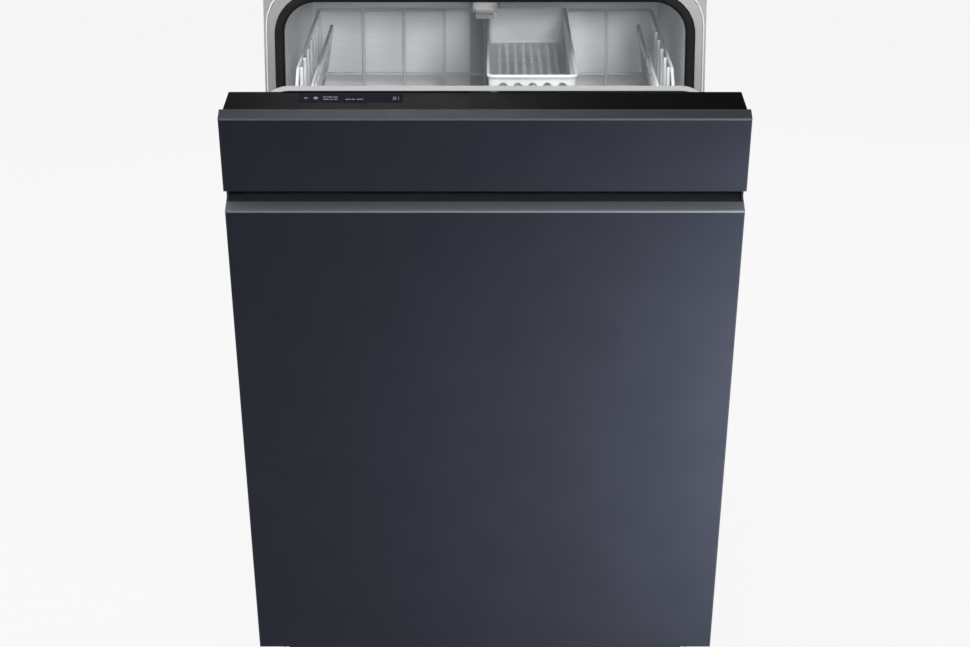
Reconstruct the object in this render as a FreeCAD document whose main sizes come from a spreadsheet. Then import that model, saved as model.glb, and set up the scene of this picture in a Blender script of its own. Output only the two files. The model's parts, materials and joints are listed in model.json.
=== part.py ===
import FreeCAD, Part
import math
import os
import re

import Sketcher
from FreeCAD import Placement, Rotation, Vector

# A dishwasher with a drop-down door, two wire racks and three spray arms. Lengths are millimetres.
# Every piece is drawn with the door shut and the racks parked. X runs to the right, Y to the back and
# Z up, with Y zero on the front face of the tub's frame. seat() then moves each piece to the pose the
# object rests in: the door part open and the racks part way out.

doc = FreeCAD.newDocument("Dishwasher")
sizes = doc.addObject("Spreadsheet::Sheet", "Sizes")
levels = doc.addObject("Spreadsheet::Sheet", "Levels")

SIZES = (
    # door front
    ("front_width", 546),
    ("front_height", 774),
    ("toe_height", 76),
    ("upper_panel_height", 92),
    ("grip_gap", 25),
    ("grip_depth", 44),
    ("grip_reach", 42),
    ("panel_thickness", 18),
    ("edge_chamfer", 1.5),
    # door core
    ("shell_depth", 32),
    ("shell_inset", 3),
    ("shell_foot", 15),
    ("fascia_inset", 4),
    ("fascia_taper", 3.5),
    ("fascia_height", 26),
    ("fascia_corner", 1.5),
    ("moulding_wall", 2.5),
    ("display_width", 108),
    ("display_depth", 16.5),
    ("display_inset", 134.5),
    ("display_recess", 1.2),
    ("liner_depth", 12),
    ("liner_side_gap", 4),
    ("liner_rise", 1.5),
    ("liner_corner", 34),
    ("liner_edge", 4),
    ("liner_margin", 30),
    ("liner_emboss", 3),
    ("lock_width", 60),
    ("lock_mouth", 28),
    ("lock_height", 40),
    ("dispenser_width", 150),
    ("dispenser_height", 116),
    ("dispenser_depth", 34),
    ("dispenser_offset", 70),
    ("dispenser_rise", 300),
    ("cup_size", 70),
    ("cup_depth", 26),
    ("cap_radius", 19),
    ("cap_stem", 14),
    # hinge
    ("hinge_drop", 74),
    ("hinge_setback", 30),
    ("rest_angle", 22),
    ("pin_radius", 5),
    ("knuckle_radius", 12),
    ("bracket_plate", 4),
    ("arm_height", 190),
    # clearances and gauges
    ("running_clearance", 0.05),
    ("fit_gap", 0.3),
    ("seal_gap", 4),
    ("sheet_gauge", 1.2),
    # cabinet
    ("front_overhang", 21),
    ("body_depth", 505),
    ("top_rise", 26),
    ("frame_depth", 12),
    ("frame_band", 12),
    ("seal_width", 11),
    ("seal_seat", 8),
    ("seal_bulge", 3.5),
    ("seal_overlap", 1.5),
    ("tub_corner", 37),
    ("tub_floor", 160),
    ("rear_gap", 25),
    ("flange_width", 12),
    ("sill_depth", 40),
    ("base_inset", 7),
    ("base_front", 60),
    ("service_recess", 23),
    ("base_bottom", 20),
    ("base_wall", 3),
    ("kick_thickness", 3),
    ("foot_radius", 20),
    ("foot_disc", 8),
    ("stem_radius", 5),
    ("stem_length", 56),
    ("boss_radius", 14),
    ("foot_inset", 40),
    ("front_foot", 80),
    ("rear_foot_inset", 42),
    # water system
    ("sump_radius", 72),
    ("sump_depth", 92),
    ("sump_centre", 155),
    ("filter_radius", 38),
    ("post_radius", 16),
    ("arm_pin", 8),
    ("arm_centre", 250),
    ("arm_clearance", 9),
    ("arm_width", 44),
    ("arm_tip", 26),
    ("arm_thickness", 11),
    ("top_arm_reach", 92),
    ("duct_width", 40),
    ("duct_depth", 12),
    ("pump_radius", 52),
    ("pump_centre", 330),
    ("pump_volute", 56),
    ("pump_motor", 86),
    ("drain_radius", 28),
    ("salt_radius", 34),
    ("salt_rim", 5),
    ("salt_clearance", 6),
    ("salt_setback", 82),
    ("inlet_radius", 13.2),
    ("inlet_inset", 95),
    ("drain_inset", 35),
    ("gland_inset", 165),
    ("gland_bore", 4.2),
    ("drain_spigot_radius", 10),
    ("spigot_shoulder", 2.5),
    ("shoulder_width", 2),
    ("spigot_recess", 3),
    # racks
    ("wire", 4),
    ("rack_front", 20),
    ("rack_clearance", 6),
    ("upper_side_gap", 21),
    ("upper_drop", 252.5),
    ("upper_height", 184),
    ("lower_side_gap", 32),
    ("lower_base", 207),
    ("lower_height", 178),
    ("upper_rate", 4.8),
    ("lower_rate", 1.2),
    ("rail_height", 24),
    ("rail_rise", 86),
    ("rail_wall", 1.5),
    ("rail_depth", 15),
    ("wheel_radius", 18),
    ("wheel_width", 10),
    ("axle_radius", 4),
    ("axle_inset", 62),
    ("ledge_width", 24),
    ("tine_length", 92),
    ("tine_margin", 45),
    ("plate_tines", 125),
    ("saucer_tines", 35),
    ("pot_tines", 122),
    ("tray_left", 2),
    ("tray_width", 102),
    ("tray_depth", 46),
    ("tray_wall", 2),
    ("shelf_width", 68),
    ("shelf_margin", 30),
    ("shelf_rise", 14),
    ("shelf_lean", 8),
)

LEVELS = (
    ("door_depth", "panel_thickness + shell_depth + liner_depth + seal_gap"),
    ("panel_back", "panel_thickness - door_depth"),
    ("shell_back", "panel_back + shell_depth"),
    ("liner_face", "0 - seal_gap"),
    ("front_top", "toe_height + front_height"),
    ("upper_edge", "front_top - upper_panel_height"),
    ("grip_ledge", "upper_edge - grip_gap"),
    ("grip_back", "grip_depth - door_depth"),
    ("grip_top", "upper_edge + grip_reach"),
    ("fascia_bottom", "front_top - fascia_height"),
    ("hinge_y", "0 - hinge_setback"),
    ("hinge_z", "toe_height + hinge_drop"),
    ("shell_bottom", "hinge_z + shell_foot"),
    ("liner_top", "front_top + liner_rise"),
    ("display_x", "display_inset - front_width / 2"),
    ("lock_level", "fascia_bottom + 14"),
    ("cup_left", "dispenser_offset - dispenser_width / 2 + 12"),
    ("cup_low", "hinge_z + dispenser_rise + 28"),
    ("cap_x", "dispenser_offset + dispenser_width / 2 - 32"),
    ("cap_z", "hinge_z + dispenser_rise + dispenser_height - 36"),
    ("lid_axis_y", "liner_face + 3.3"),
    ("lid_axis_z", "cup_low - 10"),
    ("body_top", "front_top + top_rise"),
    ("body_width", "front_width - 2 * front_overhang"),
    ("seal_outer", "body_width / 2 - frame_band"),
    ("tub_half", "seal_outer - seal_width"),
    ("liner_width", "2 * (seal_outer - liner_side_gap)"),
    ("tub_depth", "body_depth - rear_gap"),
    ("duct_front", "tub_depth - duct_depth"),
    ("seal_top", "liner_top - seal_overlap + seal_width"),
    ("tub_ceiling", "seal_top - seal_width"),
    ("wheel_level", "hinge_z + hinge_setback - seal_gap"),
    ("axle_z", "wheel_level + wheel_radius + fit_gap"),
    ("base_width", "body_width - 2 * base_inset"),
    ("base_back", "body_depth - service_recess"),
    ("foot_spread", "base_width / 2 - foot_inset"),
    ("rear_foot", "base_back - rear_foot_inset"),
    ("salt_back", "base_back - salt_setback"),
    ("inlet_x", "base_width / 2 - inlet_inset"),
    ("drain_x", "base_width / 2 - drain_inset"),
    ("gland_x", "base_width / 2 - gland_inset"),
    ("bracket_in", "base_width / 2"),
    ("arm_in", "bracket_in + bracket_plate + 0.6"),
    ("base_top", "tub_floor - sheet_gauge"),
    ("salt_offset", "tub_half - ledge_width - salt_radius - salt_rim - salt_clearance"),
    ("sill_bottom", "base_top - 18"),
    ("arm_reach", "min(tub_half - ledge_width; duct_front - arm_centre) - arm_clearance"),
    ("rack_back", "duct_front - rack_clearance"),
    ("rack_length", "rack_back - rack_front"),
    ("upper_half", "tub_half - upper_side_gap"),
    ("lower_half", "tub_half - lower_side_gap"),
    ("upper_base", "tub_ceiling - upper_drop"),
    ("rail_level", "upper_base + rail_rise"),
    ("upper_rim", "upper_base + upper_height"),
    ("lower_rim", "lower_base + lower_height"),
    ("wire_crest", "wire / sqrt(3) - wire / 2"),
    ("tray_hook", "upper_rim + wire_crest + fit_gap"),
    ("tray_low", "upper_rim - tray_depth"),
    ("tray_front", "rack_front - wire"),
    ("upper_front_rim", "tray_low - wire_crest - fit_gap"),
    ("upper_out", "upper_rate * rest_angle"),
    ("lower_out", "lower_rate * rest_angle"),
    ("upper_arm_top", "upper_base - wire / 2 - 26"),
    ("rest_drop", "hinge_drop + edge_chamfer"),
    ("rest_front", "hinge_y - (door_depth - hinge_setback) * cos(rest_angle)"
                   " - (front_height - rest_drop) * sin(rest_angle)"),
    ("front_plane", "0 - (rest_front + body_depth) / 2"),
)

SHEET_OF = {alias: "Sizes" for alias, _ in SIZES}
SHEET_OF.update({alias: "Levels" for alias, _ in LEVELS})


def qualify(text):
    """An expression with the sheet's name put before each alias."""
    def sheet_name(match):
        word = match.group()
        return f"{SHEET_OF[word]}.{word}" if word in SHEET_OF else word
    return re.sub(r"[a-z][a-z_]*", sheet_name, str(text))


for row, (alias, number) in enumerate(SIZES, start=1):
    sizes.set(f"A{row}", alias)
    sizes.set(f"B{row}", str(number))
    sizes.setAlias(f"B{row}", alias)
doc.recompute()
for row, (alias, formula) in enumerate(LEVELS, start=1):
    levels.set(f"A{row}", alias)
    levels.set(f"B{row}", "=" + qualify(formula).replace("Levels.", ""))
    levels.setAlias(f"B{row}", alias)
doc.recompute()


def value(text):
    """The number that an expression of sheet aliases stands for."""
    return float(sizes.evalExpression(qualify(text)))


def point(x, y, z):
    return Vector(value(x), value(y), value(z))


def bind(thing, prop, text):
    thing.setExpression(prop, qualify(text))


# Where each moving group rests, measured from the drawing pose.
FORWARD = Vector(0, value("front_plane"), 0)
HINGE = point("0", "hinge_y", "hinge_z")
AT_HOME = Placement(FORWARD, Rotation())
OPENED = Placement(Vector(), Rotation(Vector(1, 0, 0), value("rest_angle")), HINGE)
CARRIERS = {
    "cabinet": AT_HOME,
    "door": AT_HOME.multiply(OPENED),
    "upper_rack": AT_HOME.multiply(Placement(Vector(0, -value("upper_out"), 0), Rotation())),
    "rail_middle": AT_HOME.multiply(Placement(Vector(0, -value("upper_out / 2"), 0), Rotation())),
    "lower_rack": AT_HOME.multiply(Placement(Vector(0, -value("lower_out"), 0), Rotation())),
}
NODES = []


def seat(piece, carrier, offset=("0", "0", "0")):
    """Moves a finished piece to its rest pose and lists it for export."""
    piece.Placement = CARRIERS[carrier].multiply(Placement(point(*offset), Rotation()))
    NODES.append(piece)
    return piece


# Part primitives and booleans

def box(name, across, along, up):
    solid = doc.addObject("Part::Box", name)
    spans = zip(("Length", "Width", "Height"), "xyz", (across, along, up))
    for side, axis, (low, high) in spans:
        bind(solid, side, f"({high}) - ({low})")
        bind(solid, f"Placement.Base.{axis}", low)
    return solid


TURNS = {
    "x": Rotation(Vector(0, 1, 0), 90),
    "y": Rotation(Vector(1, 0, 0), -90),
    "z": Rotation(),
}


def rod(name, radius, length, start, axis):
    solid = doc.addObject("Part::Cylinder", name)
    solid.Placement = Placement(Vector(), TURNS[axis])
    bind(solid, "Radius", radius)
    bind(solid, "Height", length)
    for key, text in zip("xyz", start):
        bind(solid, f"Placement.Base.{key}", text)
    return solid


def fuse(name, *pieces):
    joined = doc.addObject("Part::MultiFuse", name)
    joined.Shapes = list(pieces)
    joined.Refine = True
    return joined


def cut(name, base, *tools):
    tool = tools[0] if len(tools) == 1 else fuse(name + "Tools", *tools)
    result = doc.addObject("Part::Cut", name)
    result.Base = base
    result.Tool = tool
    return result


def group(name, *pieces):
    both = doc.addObject("Part::Compound", name)
    both.Links = list(pieces)
    return both


# Bodies made of sketches and features

def new_body(name):
    return doc.addObject("PartDesign::Body", name)


def rectangle(left, right, low, high):
    return ((left, low), (right, low), (right, high), (left, high))


def blank_sketch(body, name, plane, height):
    sketch = body.newObject("Sketcher::SketchObject", body.Name + name)
    support = next(f for f in body.Origin.OriginFeatures if f.Role == plane + "_Plane")
    sketch.AttachmentSupport = [(support, "")]
    sketch.MapMode = "FlatFace"
    bind(sketch, "AttachmentOffset.Base.z", f"0 - ({height})" if plane == "XZ" else height)
    return sketch


def fix_point(sketch, index, place, across, up):
    for kind, text in (("DistanceX", across), ("DistanceY", up)):
        constraint = Sketcher.Constraint(kind, -1, 1, index, place, value(text))
        number = sketch.addConstraint(constraint)
        bind(sketch, f"Constraints[{number}]", text)


def polygon_sketch(body, name, plane, points, height):
    """A closed outline whose every corner is dimensioned from the sheet."""
    sketch = blank_sketch(body, name, plane, height)
    corners = [Vector(value(across), value(up), 0) for across, up in points]
    for start, end in zip(corners, corners[1:] + corners[:1]):
        sketch.addGeometry(Part.LineSegment(start, end), False)
    for index in range(len(corners)):
        following = (index + 1) % len(corners)
        sketch.addConstraint(Sketcher.Constraint("Coincident", index, 2, following, 1))
    for index, (across, up) in enumerate(points):
        fix_point(sketch, index, 1, across, up)
    return sketch


def circle_sketch(body, name, plane, centre, radius, height):
    sketch = blank_sketch(body, name, plane, height)
    middle = Vector(value(centre[0]), value(centre[1]), 0)
    sketch.addGeometry(Part.Circle(middle, Vector(0, 0, 1), value(radius)), False)
    fix_point(sketch, 0, 3, *centre)
    number = sketch.addConstraint(Sketcher.Constraint("Radius", 0, value(radius)))
    bind(sketch, f"Constraints[{number}]", radius)
    return sketch


def extrude(body, name, kind, plane, low, high, draw):
    """Pads or pockets between two heights on the axis across the plane."""
    adding = kind == "Pad"
    base = low if adding or plane == "XZ" else high
    sketch = draw(base)
    feature = body.newObject("PartDesign::" + kind, body.Name + name)
    feature.Profile = sketch
    feature.Reversed = adding and plane == "XZ"
    bind(feature, "Length", f"({high}) - ({low})")
    sketch.Visibility = False
    doc.recompute()
    return feature


def pad(body, name, plane, points, low, high):
    def draw(base):
        return polygon_sketch(body, name + "Outline", plane, points, base)
    return extrude(body, name, "Pad", plane, low, high, draw)


def pocket(body, name, plane, points, low, high):
    def draw(base):
        return polygon_sketch(body, name + "Outline", plane, points, base)
    return extrude(body, name, "Pocket", plane, low, high, draw)


def round_pad(body, name, plane, centre, radius, low, high):
    def draw(base):
        return circle_sketch(body, name + "Circle", plane, centre, radius, base)
    return extrude(body, name, "Pad", plane, low, high, draw)


def round_pocket(body, name, plane, centre, radius, low, high):
    def draw(base):
        return circle_sketch(body, name + "Circle", plane, centre, radius, base)
    return extrude(body, name, "Pocket", plane, low, high, draw)


def revolve(body, name, plane, points, axis="V_Axis"):
    sketch = polygon_sketch(body, name + "Profile", plane, points, "0")
    feature = body.newObject("PartDesign::Revolution", body.Name + name)
    feature.Profile = sketch
    feature.ReferenceAxis = (sketch, [axis])
    feature.Angle = 360
    doc.recompute()
    return feature


def repeat(body, name, original, direction, length, count):
    pattern = body.newObject("PartDesign::LinearPattern", body.Name + name)
    pattern.Originals = [original]
    support = next(f for f in body.Origin.OriginFeatures if f.Role == direction + "_Axis")
    pattern.Direction = (support, [""])
    bind(pattern, "Length", length)
    pattern.Occurrences = count
    body.Tip = pattern
    doc.recompute()
    return pattern


def soften(body, name, kind, amount, wanted):
    """A fillet or chamfer on the edges whose box the test picks."""
    base = body.Tip
    feature = body.newObject("PartDesign::" + kind, body.Name + name)
    feature.Base = (base, [f"Edge{n}" for n, e in enumerate(base.Shape.Edges, 1) if wanted(e.BoundBox)])
    bind(feature, "Radius" if kind == "Fillet" else "Size", amount)
    doc.recompute()
    return feature


def shell(body, name, gauge, wanted):
    """Hollows a body, leaving open the face that the test picks."""
    base = body.Tip
    feature = body.newObject("PartDesign::Thickness", body.Name + name)
    feature.Base = (base, [f"Face{n}" for n, f in enumerate(base.Shape.Faces, 1) if wanted(f.BoundBox)])
    feature.Reversed = True
    bind(feature, "Value", gauge)
    doc.recompute()
    return feature


def near(a, b):
    return abs(a - b) < 0.01


def lies_at(axis, text):
    """Picks edges or faces that lie flat at one height on an axis."""
    goal = value(text)
    def wanted(limits):
        low, high = getattr(limits, axis + "Min"), getattr(limits, axis + "Max")
        return near(low, goal) and near(high, goal)
    return wanted


def runs_along(axis, **places):
    """Picks straight edges along one axis, at the given places on the others."""
    goals = {key: value(text) for key, text in places.items()}
    def wanted(limits):
        if getattr(limits, axis + "Length") < 1:
            return False
        others = [key for key in "XYZ" if key != axis]
        if any(getattr(limits, key + "Length") > 0.01 for key in others):
            return False
        return all(near(abs(getattr(limits, key + "Min")), abs(goal)) for key, goal in goals.items())
    return wanted


# Door front: two folded sheet pans with an open grip gap between them

def front_plate(node, low, high):
    body = new_body(node)
    outline = rectangle("0 - front_width / 2", "front_width / 2", low, high)
    pad(body, "Plate", "XZ", outline, "0 - door_depth", "panel_back")
    soften(body, "FrontEdge", "Chamfer", "edge_chamfer", lies_at("Y", "0 - door_depth"))
    shell(body, "Folded", "sheet_gauge", lies_at("Y", "panel_back"))
    return seat(body, "door")


front_plate("lower_front_panel", "toe_height", "grip_ledge")
front_plate("upper_front_panel", "upper_edge", "front_top")

grip = new_body("grip_channel")
pad(grip, "Section", "YZ", (
    ("panel_back", "grip_ledge - sheet_gauge"),
    ("grip_back", "grip_ledge - sheet_gauge"),
    ("grip_back", "grip_top"),
    ("panel_back", "grip_top"),
    ("panel_back", "grip_top - sheet_gauge"),
    ("grip_back - sheet_gauge", "grip_top - sheet_gauge"),
    ("grip_back - sheet_gauge", "grip_ledge"),
    ("panel_back", "grip_ledge"),
), "0 - front_width / 2", "front_width / 2")
seat(grip, "door")

# Control strip on the door's top edge, hollow below, with a sunk display

fascia_half = "front_width / 2 - fascia_inset"
fascia_rear = f"{fascia_half} - fascia_taper"
fascia = new_body("control_fascia")
pad(fascia, "Cap", "XY", (
    (f"0 - ({fascia_half})", "panel_back"),
    (fascia_half, "panel_back"),
    (fascia_rear, "shell_back"),
    (f"0 - ({fascia_rear})", "shell_back"),
), "fascia_bottom", "front_top")
soften(fascia, "BackCorners", "Fillet", "fascia_corner", runs_along("Z", Y="shell_back"))
pocket(fascia, "Hollow", "XY",
       rectangle(f"moulding_wall - ({fascia_rear})", f"{fascia_rear} - moulding_wall",
                 "panel_back + moulding_wall", "shell_back - moulding_wall"),
       "fascia_bottom", "front_top - moulding_wall - display_recess")
display_y = "(panel_back + shell_back) / 2 + 4"
pocket(fascia, "DisplaySeat", "XY",
       rectangle("display_x - display_width / 2", "display_x + display_width / 2",
                 f"{display_y} - display_depth / 2", f"{display_y} + display_depth / 2"),
       "front_top - display_recess", "front_top")
pocket(fascia, "LockGap", "XZ",
       rectangle("0 - lock_mouth / 2", "lock_mouth / 2", "fascia_bottom - 1", "lock_level + 9"),
       "shell_back - moulding_wall - 1", "shell_back + 1")
seat(fascia, "door")

display_plate = box(
    "DisplayPlate",
    ("display_x - display_width / 2 + 0.2", "display_x + display_width / 2 - 0.2"),
    (f"{display_y} - display_depth / 2 + 0.2", f"{display_y} + display_depth / 2 - 0.2"),
    ("front_top - display_recess", "front_top"))
seat(group("display_window", display_plate), "door")

# Sheet-metal core of the door

shell_half = "front_width / 2 - shell_inset"
door_shell = cut(
    "door_shell",
    box("ShellOuter", (f"0 - ({shell_half})", shell_half), ("panel_back", "shell_back"),
        ("shell_bottom", "fascia_bottom")),
    box("ShellInner", (f"sheet_gauge - ({shell_half})", f"{shell_half} - sheet_gauge"),
        ("panel_back + sheet_gauge", "shell_back - sheet_gauge"),
        ("shell_bottom + sheet_gauge", "fascia_bottom - sheet_gauge")),
    box("ShellWindow", ("10 - liner_width / 2", "liner_width / 2 - 10"), ("shell_back - 3", "shell_back + 1"),
        ("shell_bottom + 10", "fascia_bottom - 10")),
    box("ShellGrip", ("0 - front_width", "front_width"), ("panel_back - 1", "grip_back + fit_gap"),
        ("grip_ledge - sheet_gauge - fit_gap", "grip_top + fit_gap")),
    box("ShellLock", ("0 - lock_width / 2 - fit_gap", "lock_width / 2 + fit_gap"),
        ("panel_back + sheet_gauge", "shell_back + 1"), ("fascia_bottom - 14", "fascia_bottom + 1")),
    box("ShellArmLeft", ("0 - arm_in - 17", "0.5 - arm_in"), ("panel_back + 1", "shell_back - 1"),
        ("shell_bottom - 1", "shell_bottom + sheet_gauge + 1")),
    box("ShellArmRight", ("arm_in - 0.5", "arm_in + 17"), ("panel_back + 1", "shell_back - 1"),
        ("shell_bottom - 1", "shell_bottom + sheet_gauge + 1")),
)
seat(door_shell, "door")

# Steel inner liner, a pan with a pressed field, a lock slot and the dispenser's opening

liner = new_body("inner_liner")
pad(liner, "Pan", "XZ", rectangle("0 - liner_width / 2", "liner_width / 2", "hinge_z", "liner_top"),
    "shell_back", "liner_face")
soften(liner, "TopCorners", "Fillet", "liner_corner", runs_along("Y", Z="liner_top"))
soften(liner, "RolledEdge", "Fillet", "liner_edge", lies_at("Y", "liner_face"))
pocket(liner, "Field", "XZ",
       rectangle("liner_margin - liner_width / 2", "liner_width / 2 - liner_margin",
                 "hinge_z + liner_margin", "fascia_bottom - liner_margin"),
       "liner_face - liner_emboss", "liner_face + 1")
soften(liner, "FieldCorners", "Fillet", "liner_corner - 4",
       lambda limits: runs_along("Y")(limits) and near(limits.YMax, value("liner_face"))
       and near(limits.YLength, value("liner_emboss")))
shell(liner, "Hollow", "sheet_gauge", lies_at("Y", "shell_back"))
disp_left = "dispenser_offset - dispenser_width / 2"
disp_right = "dispenser_offset + dispenser_width / 2"
disp_low = "hinge_z + dispenser_rise"
disp_high = "hinge_z + dispenser_rise + dispenser_height"
pocket(liner, "DispenserGap", "XZ",
       rectangle(f"{disp_left} - fit_gap", f"{disp_right} + fit_gap", f"{disp_low} - fit_gap",
                 f"{disp_high} + fit_gap"),
       "shell_back - 1", "liner_face + 1")
pocket(liner, "LockSlot", "XZ",
       rectangle("0 - lock_mouth / 2", "lock_mouth / 2", "lock_level - 9", "lock_level + 9"),
       "liner_face - 3", "liner_face + 1")
seat(liner, "door")

# Lock in the door and the striker bar that enters it

lock = new_body("door_lock")
pad(lock, "Case", "XZ",
    rectangle("0 - lock_width / 2", "lock_width / 2", "lock_level + 7 - lock_height", "lock_level + 7"),
    "shell_back - moulding_wall - 22", "shell_back - moulding_wall - fit_gap")
pocket(lock, "Mouth", "XZ",
       rectangle("0 - lock_mouth / 2", "lock_mouth / 2", "lock_level - 8", "lock_level + 5"),
       "shell_back - moulding_wall - 14", "shell_back")
seat(lock, "door")

striker = fuse(
    "door_striker",
    box("StrikerBar", ("0 - lock_mouth / 2 + 4", "lock_mouth / 2 - 4"),
        ("shell_back - moulding_wall - 10", "34"), ("lock_level - 2", "lock_level + 2")),
    box("StrikerFoot", ("0 - lock_mouth / 2", "lock_mouth / 2"), ("12", "38"),
        ("lock_level - 2", "tub_ceiling")),
)
seat(striker, "cabinet")

# Detergent dispenser: housing with a cup, a sprung lid on two pins and a rinse-aid cap

lid_left = "cup_left - 3"
lid_right = "cup_left + cup_size + 3"
housing = new_body("DispenserBlock")
pad(housing, "Block", "XZ", rectangle(disp_left, disp_right, disp_low, disp_high),
    "liner_face - dispenser_depth", "liner_face")
soften(housing, "Corners", "Fillet", "6", runs_along("Y"))
pocket(housing, "Cup", "XZ", rectangle("cup_left", "cup_left + cup_size", "cup_low", "cup_low + cup_size"),
       "liner_face - cup_depth", "liner_face + 1")
round_pocket(housing, "Port", "XZ", ("cap_x", "cap_z"), "cap_stem + running_clearance",
             "liner_face - 9", "liner_face + 1")
dispenser = fuse(
    "dispenser_housing", housing,
    box("LidEarLeft", (f"{lid_left} - 5", f"{lid_left} - fit_gap"), ("liner_face - 1", "lid_axis_y + 2.6"),
        ("lid_axis_z - 3", "lid_axis_z + 3")),
    box("LidEarRight", (f"{lid_right} + fit_gap", f"{lid_right} + 5"),
        ("liner_face - 1", "lid_axis_y + 2.6"), ("lid_axis_z - 3", "lid_axis_z + 3")),
    rod("LidPinLeft", "1.5", "6", (f"{lid_left} - 2", "lid_axis_y", "lid_axis_z"), "x"),
    rod("LidPinRight", "1.5", "6", (f"{lid_right} - 4", "lid_axis_y", "lid_axis_z"), "x"),
)
seat(dispenser, "door")

lid = cut(
    "dispenser_lid",
    fuse("LidForm",
         box("LidPlate", (lid_left, lid_right), ("liner_face + fit_gap", "liner_face + 4"),
             ("lid_axis_z + 2", "cup_low + cup_size + 4")),
         rod("LidBarrel", "2.9", "cup_size + 6", (lid_left, "lid_axis_y", "lid_axis_z"), "x"),
         box("LidNeck", (lid_left, lid_right), ("lid_axis_y - 1.5", "lid_axis_y + 0.7"),
             ("lid_axis_z", "lid_axis_z + 3")),
         box("LidTab", ("cup_left + cup_size / 2 - 12", "cup_left + cup_size / 2 + 12"),
             ("liner_face + 3", "liner_face + 6"), ("cup_low + cup_size - 10", "cup_low + cup_size"))),
    rod("LidBore", "1.5 + running_clearance", "cup_size + 8", ("cup_left - 4", "lid_axis_y", "lid_axis_z"), "x"),
)
seat(lid, "door")

cap = fuse(
    "rinse_aid_cap",
    rod("CapStem", "cap_stem", "8", ("cap_x", "liner_face - 8 + fit_gap", "cap_z"), "y"),
    rod("CapDisc", "cap_radius", "3", ("cap_x", "liner_face + fit_gap", "cap_z"), "y"),
    box("CapRib", ("cap_x - cap_radius + 3", "cap_x + cap_radius - 3"), ("liner_face + 3", "liner_face + 8"),
        ("cap_z - 2.5", "cap_z + 2.5")),
)
seat(cap, "door")


# Hinges: arms in the door turn on pins that the cabinet's brackets hold

def mirrored_span(side, near_x, far_x):
    """An X span on the left (-1) or right (+1) side of the machine."""
    return (near_x, far_x) if side > 0 else (f"0 - ({far_x})", f"0 - ({near_x})")


def hinge_arm(side):
    tag = "Right" if side > 0 else "Left"
    web = mirrored_span(side, "arm_in", "arm_in + bracket_plate")
    form = fuse(
        "ArmForm" + tag,
        box("ArmWeb" + tag, web, ("panel_back + sheet_gauge", "hinge_y + knuckle_radius"),
            ("hinge_z", "hinge_z + arm_height")),
        rod("ArmEye" + tag, "knuckle_radius", "bracket_plate", (web[0], "hinge_y", "hinge_z"), "x"),
        box("ArmFoot" + tag, mirrored_span(side, "arm_in", "arm_in + 15"),
            ("panel_back + sheet_gauge", "panel_back + sheet_gauge + bracket_plate"),
            ("shell_bottom + 12", "hinge_z + arm_height")),
    )
    return cut(
        "Arm" + tag, form,
        rod("ArmBore" + tag, "pin_radius + running_clearance", "40",
            (f"{web[0]} - 15", "hinge_y", "hinge_z"), "x"),
        box("ArmTrim" + tag, mirrored_span(side, "arm_in - 1", "arm_in + 30"),
            ("panel_back", "hinge_y - knuckle_radius"), ("hinge_z - 1", "shell_bottom + 12")),
    )


seat(group("hinge_arms", hinge_arm(-1), hinge_arm(1)), "door")


def hinge_bracket(side):
    tag = "Right" if side > 0 else "Left"
    span = mirrored_span(side, "bracket_in", "bracket_in + bracket_plate")
    form = fuse(
        "BracketForm" + tag,
        box("BracketBeam" + tag, span, ("hinge_y", "base_front + 70"), ("hinge_z - 8", "hinge_z + 8")),
        rod("BracketEye" + tag, "knuckle_radius", "bracket_plate", (span[0], "hinge_y", "hinge_z"), "x"),
        box("BracketPlate" + tag, span, ("base_front", "base_front + 70"), ("base_bottom + 30", "hinge_z")),
    )
    bore = rod("BracketBore" + tag, "pin_radius", "40", (f"{span[0]} - 15", "hinge_y", "hinge_z"), "x")
    return cut("Bracket" + tag, form, bore)


seat(group("hinge_brackets", hinge_bracket(-1), hinge_bracket(1)), "cabinet")

pin_reach = "2 * bracket_plate + 3"
seat(group(
    "hinge_pins",
    rod("PinLeft", "pin_radius", pin_reach, (f"0 - bracket_in - ({pin_reach})", "hinge_y", "hinge_z"), "x"),
    rod("PinRight", "pin_radius", pin_reach, ("bracket_in", "hinge_y", "hinge_z"), "x"),
), "cabinet")

# Steel tub, its front frame, door seal and sill

tub = new_body("tub_shell")
pad(tub, "Block", "XZ",
    rectangle("0 - tub_half - sheet_gauge", "tub_half + sheet_gauge", "base_top", "tub_ceiling + sheet_gauge"),
    "seal_seat", "tub_depth + sheet_gauge")
soften(tub, "TopCorners", "Fillet", "tub_corner + sheet_gauge",
       runs_along("Y", Z="tub_ceiling + sheet_gauge"))
shell(tub, "Hollow", "sheet_gauge", lies_at("Y", "seal_seat"))
round_pocket(tub, "SumpHole", "XY", ("0", "sump_centre"), "sump_radius - 8", "base_top - 1", "tub_floor + 1")
round_pocket(tub, "PostHole", "XY", ("0", "arm_centre"), "post_radius + fit_gap", "base_top - 1", "tub_floor + 1")
round_pocket(tub, "SaltHole", "XY", ("0 - salt_offset", "salt_back"), "salt_radius + fit_gap",
             "base_top - 1", "tub_floor + 1")
seat(tub, "cabinet")

frame = new_body("tub_frame")
pad(frame, "Plate", "XZ", rectangle("0 - body_width / 2", "body_width / 2", "shell_bottom", "body_top"),
    "0", "frame_depth")
pocket(frame, "Mouth", "XZ",
       rectangle("0 - tub_half - sheet_gauge", "tub_half + sheet_gauge", "shell_bottom - 1",
                 "tub_ceiling + sheet_gauge"),
       "0 - 1", "frame_depth + 1")
soften(frame, "MouthCorners", "Fillet", "tub_corner + sheet_gauge",
       runs_along("Y", X="tub_half + sheet_gauge", Z="tub_ceiling + sheet_gauge"))
pocket(frame, "SealSeat", "XZ", rectangle("0 - seal_outer", "seal_outer", "shell_bottom - 1", "seal_top"),
       "0 - 1", "seal_seat")
soften(frame, "SeatCorners", "Fillet", "tub_corner + seal_width",
       runs_along("Y", X="seal_outer", Z="seal_top"))
seat(frame, "cabinet")

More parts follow.
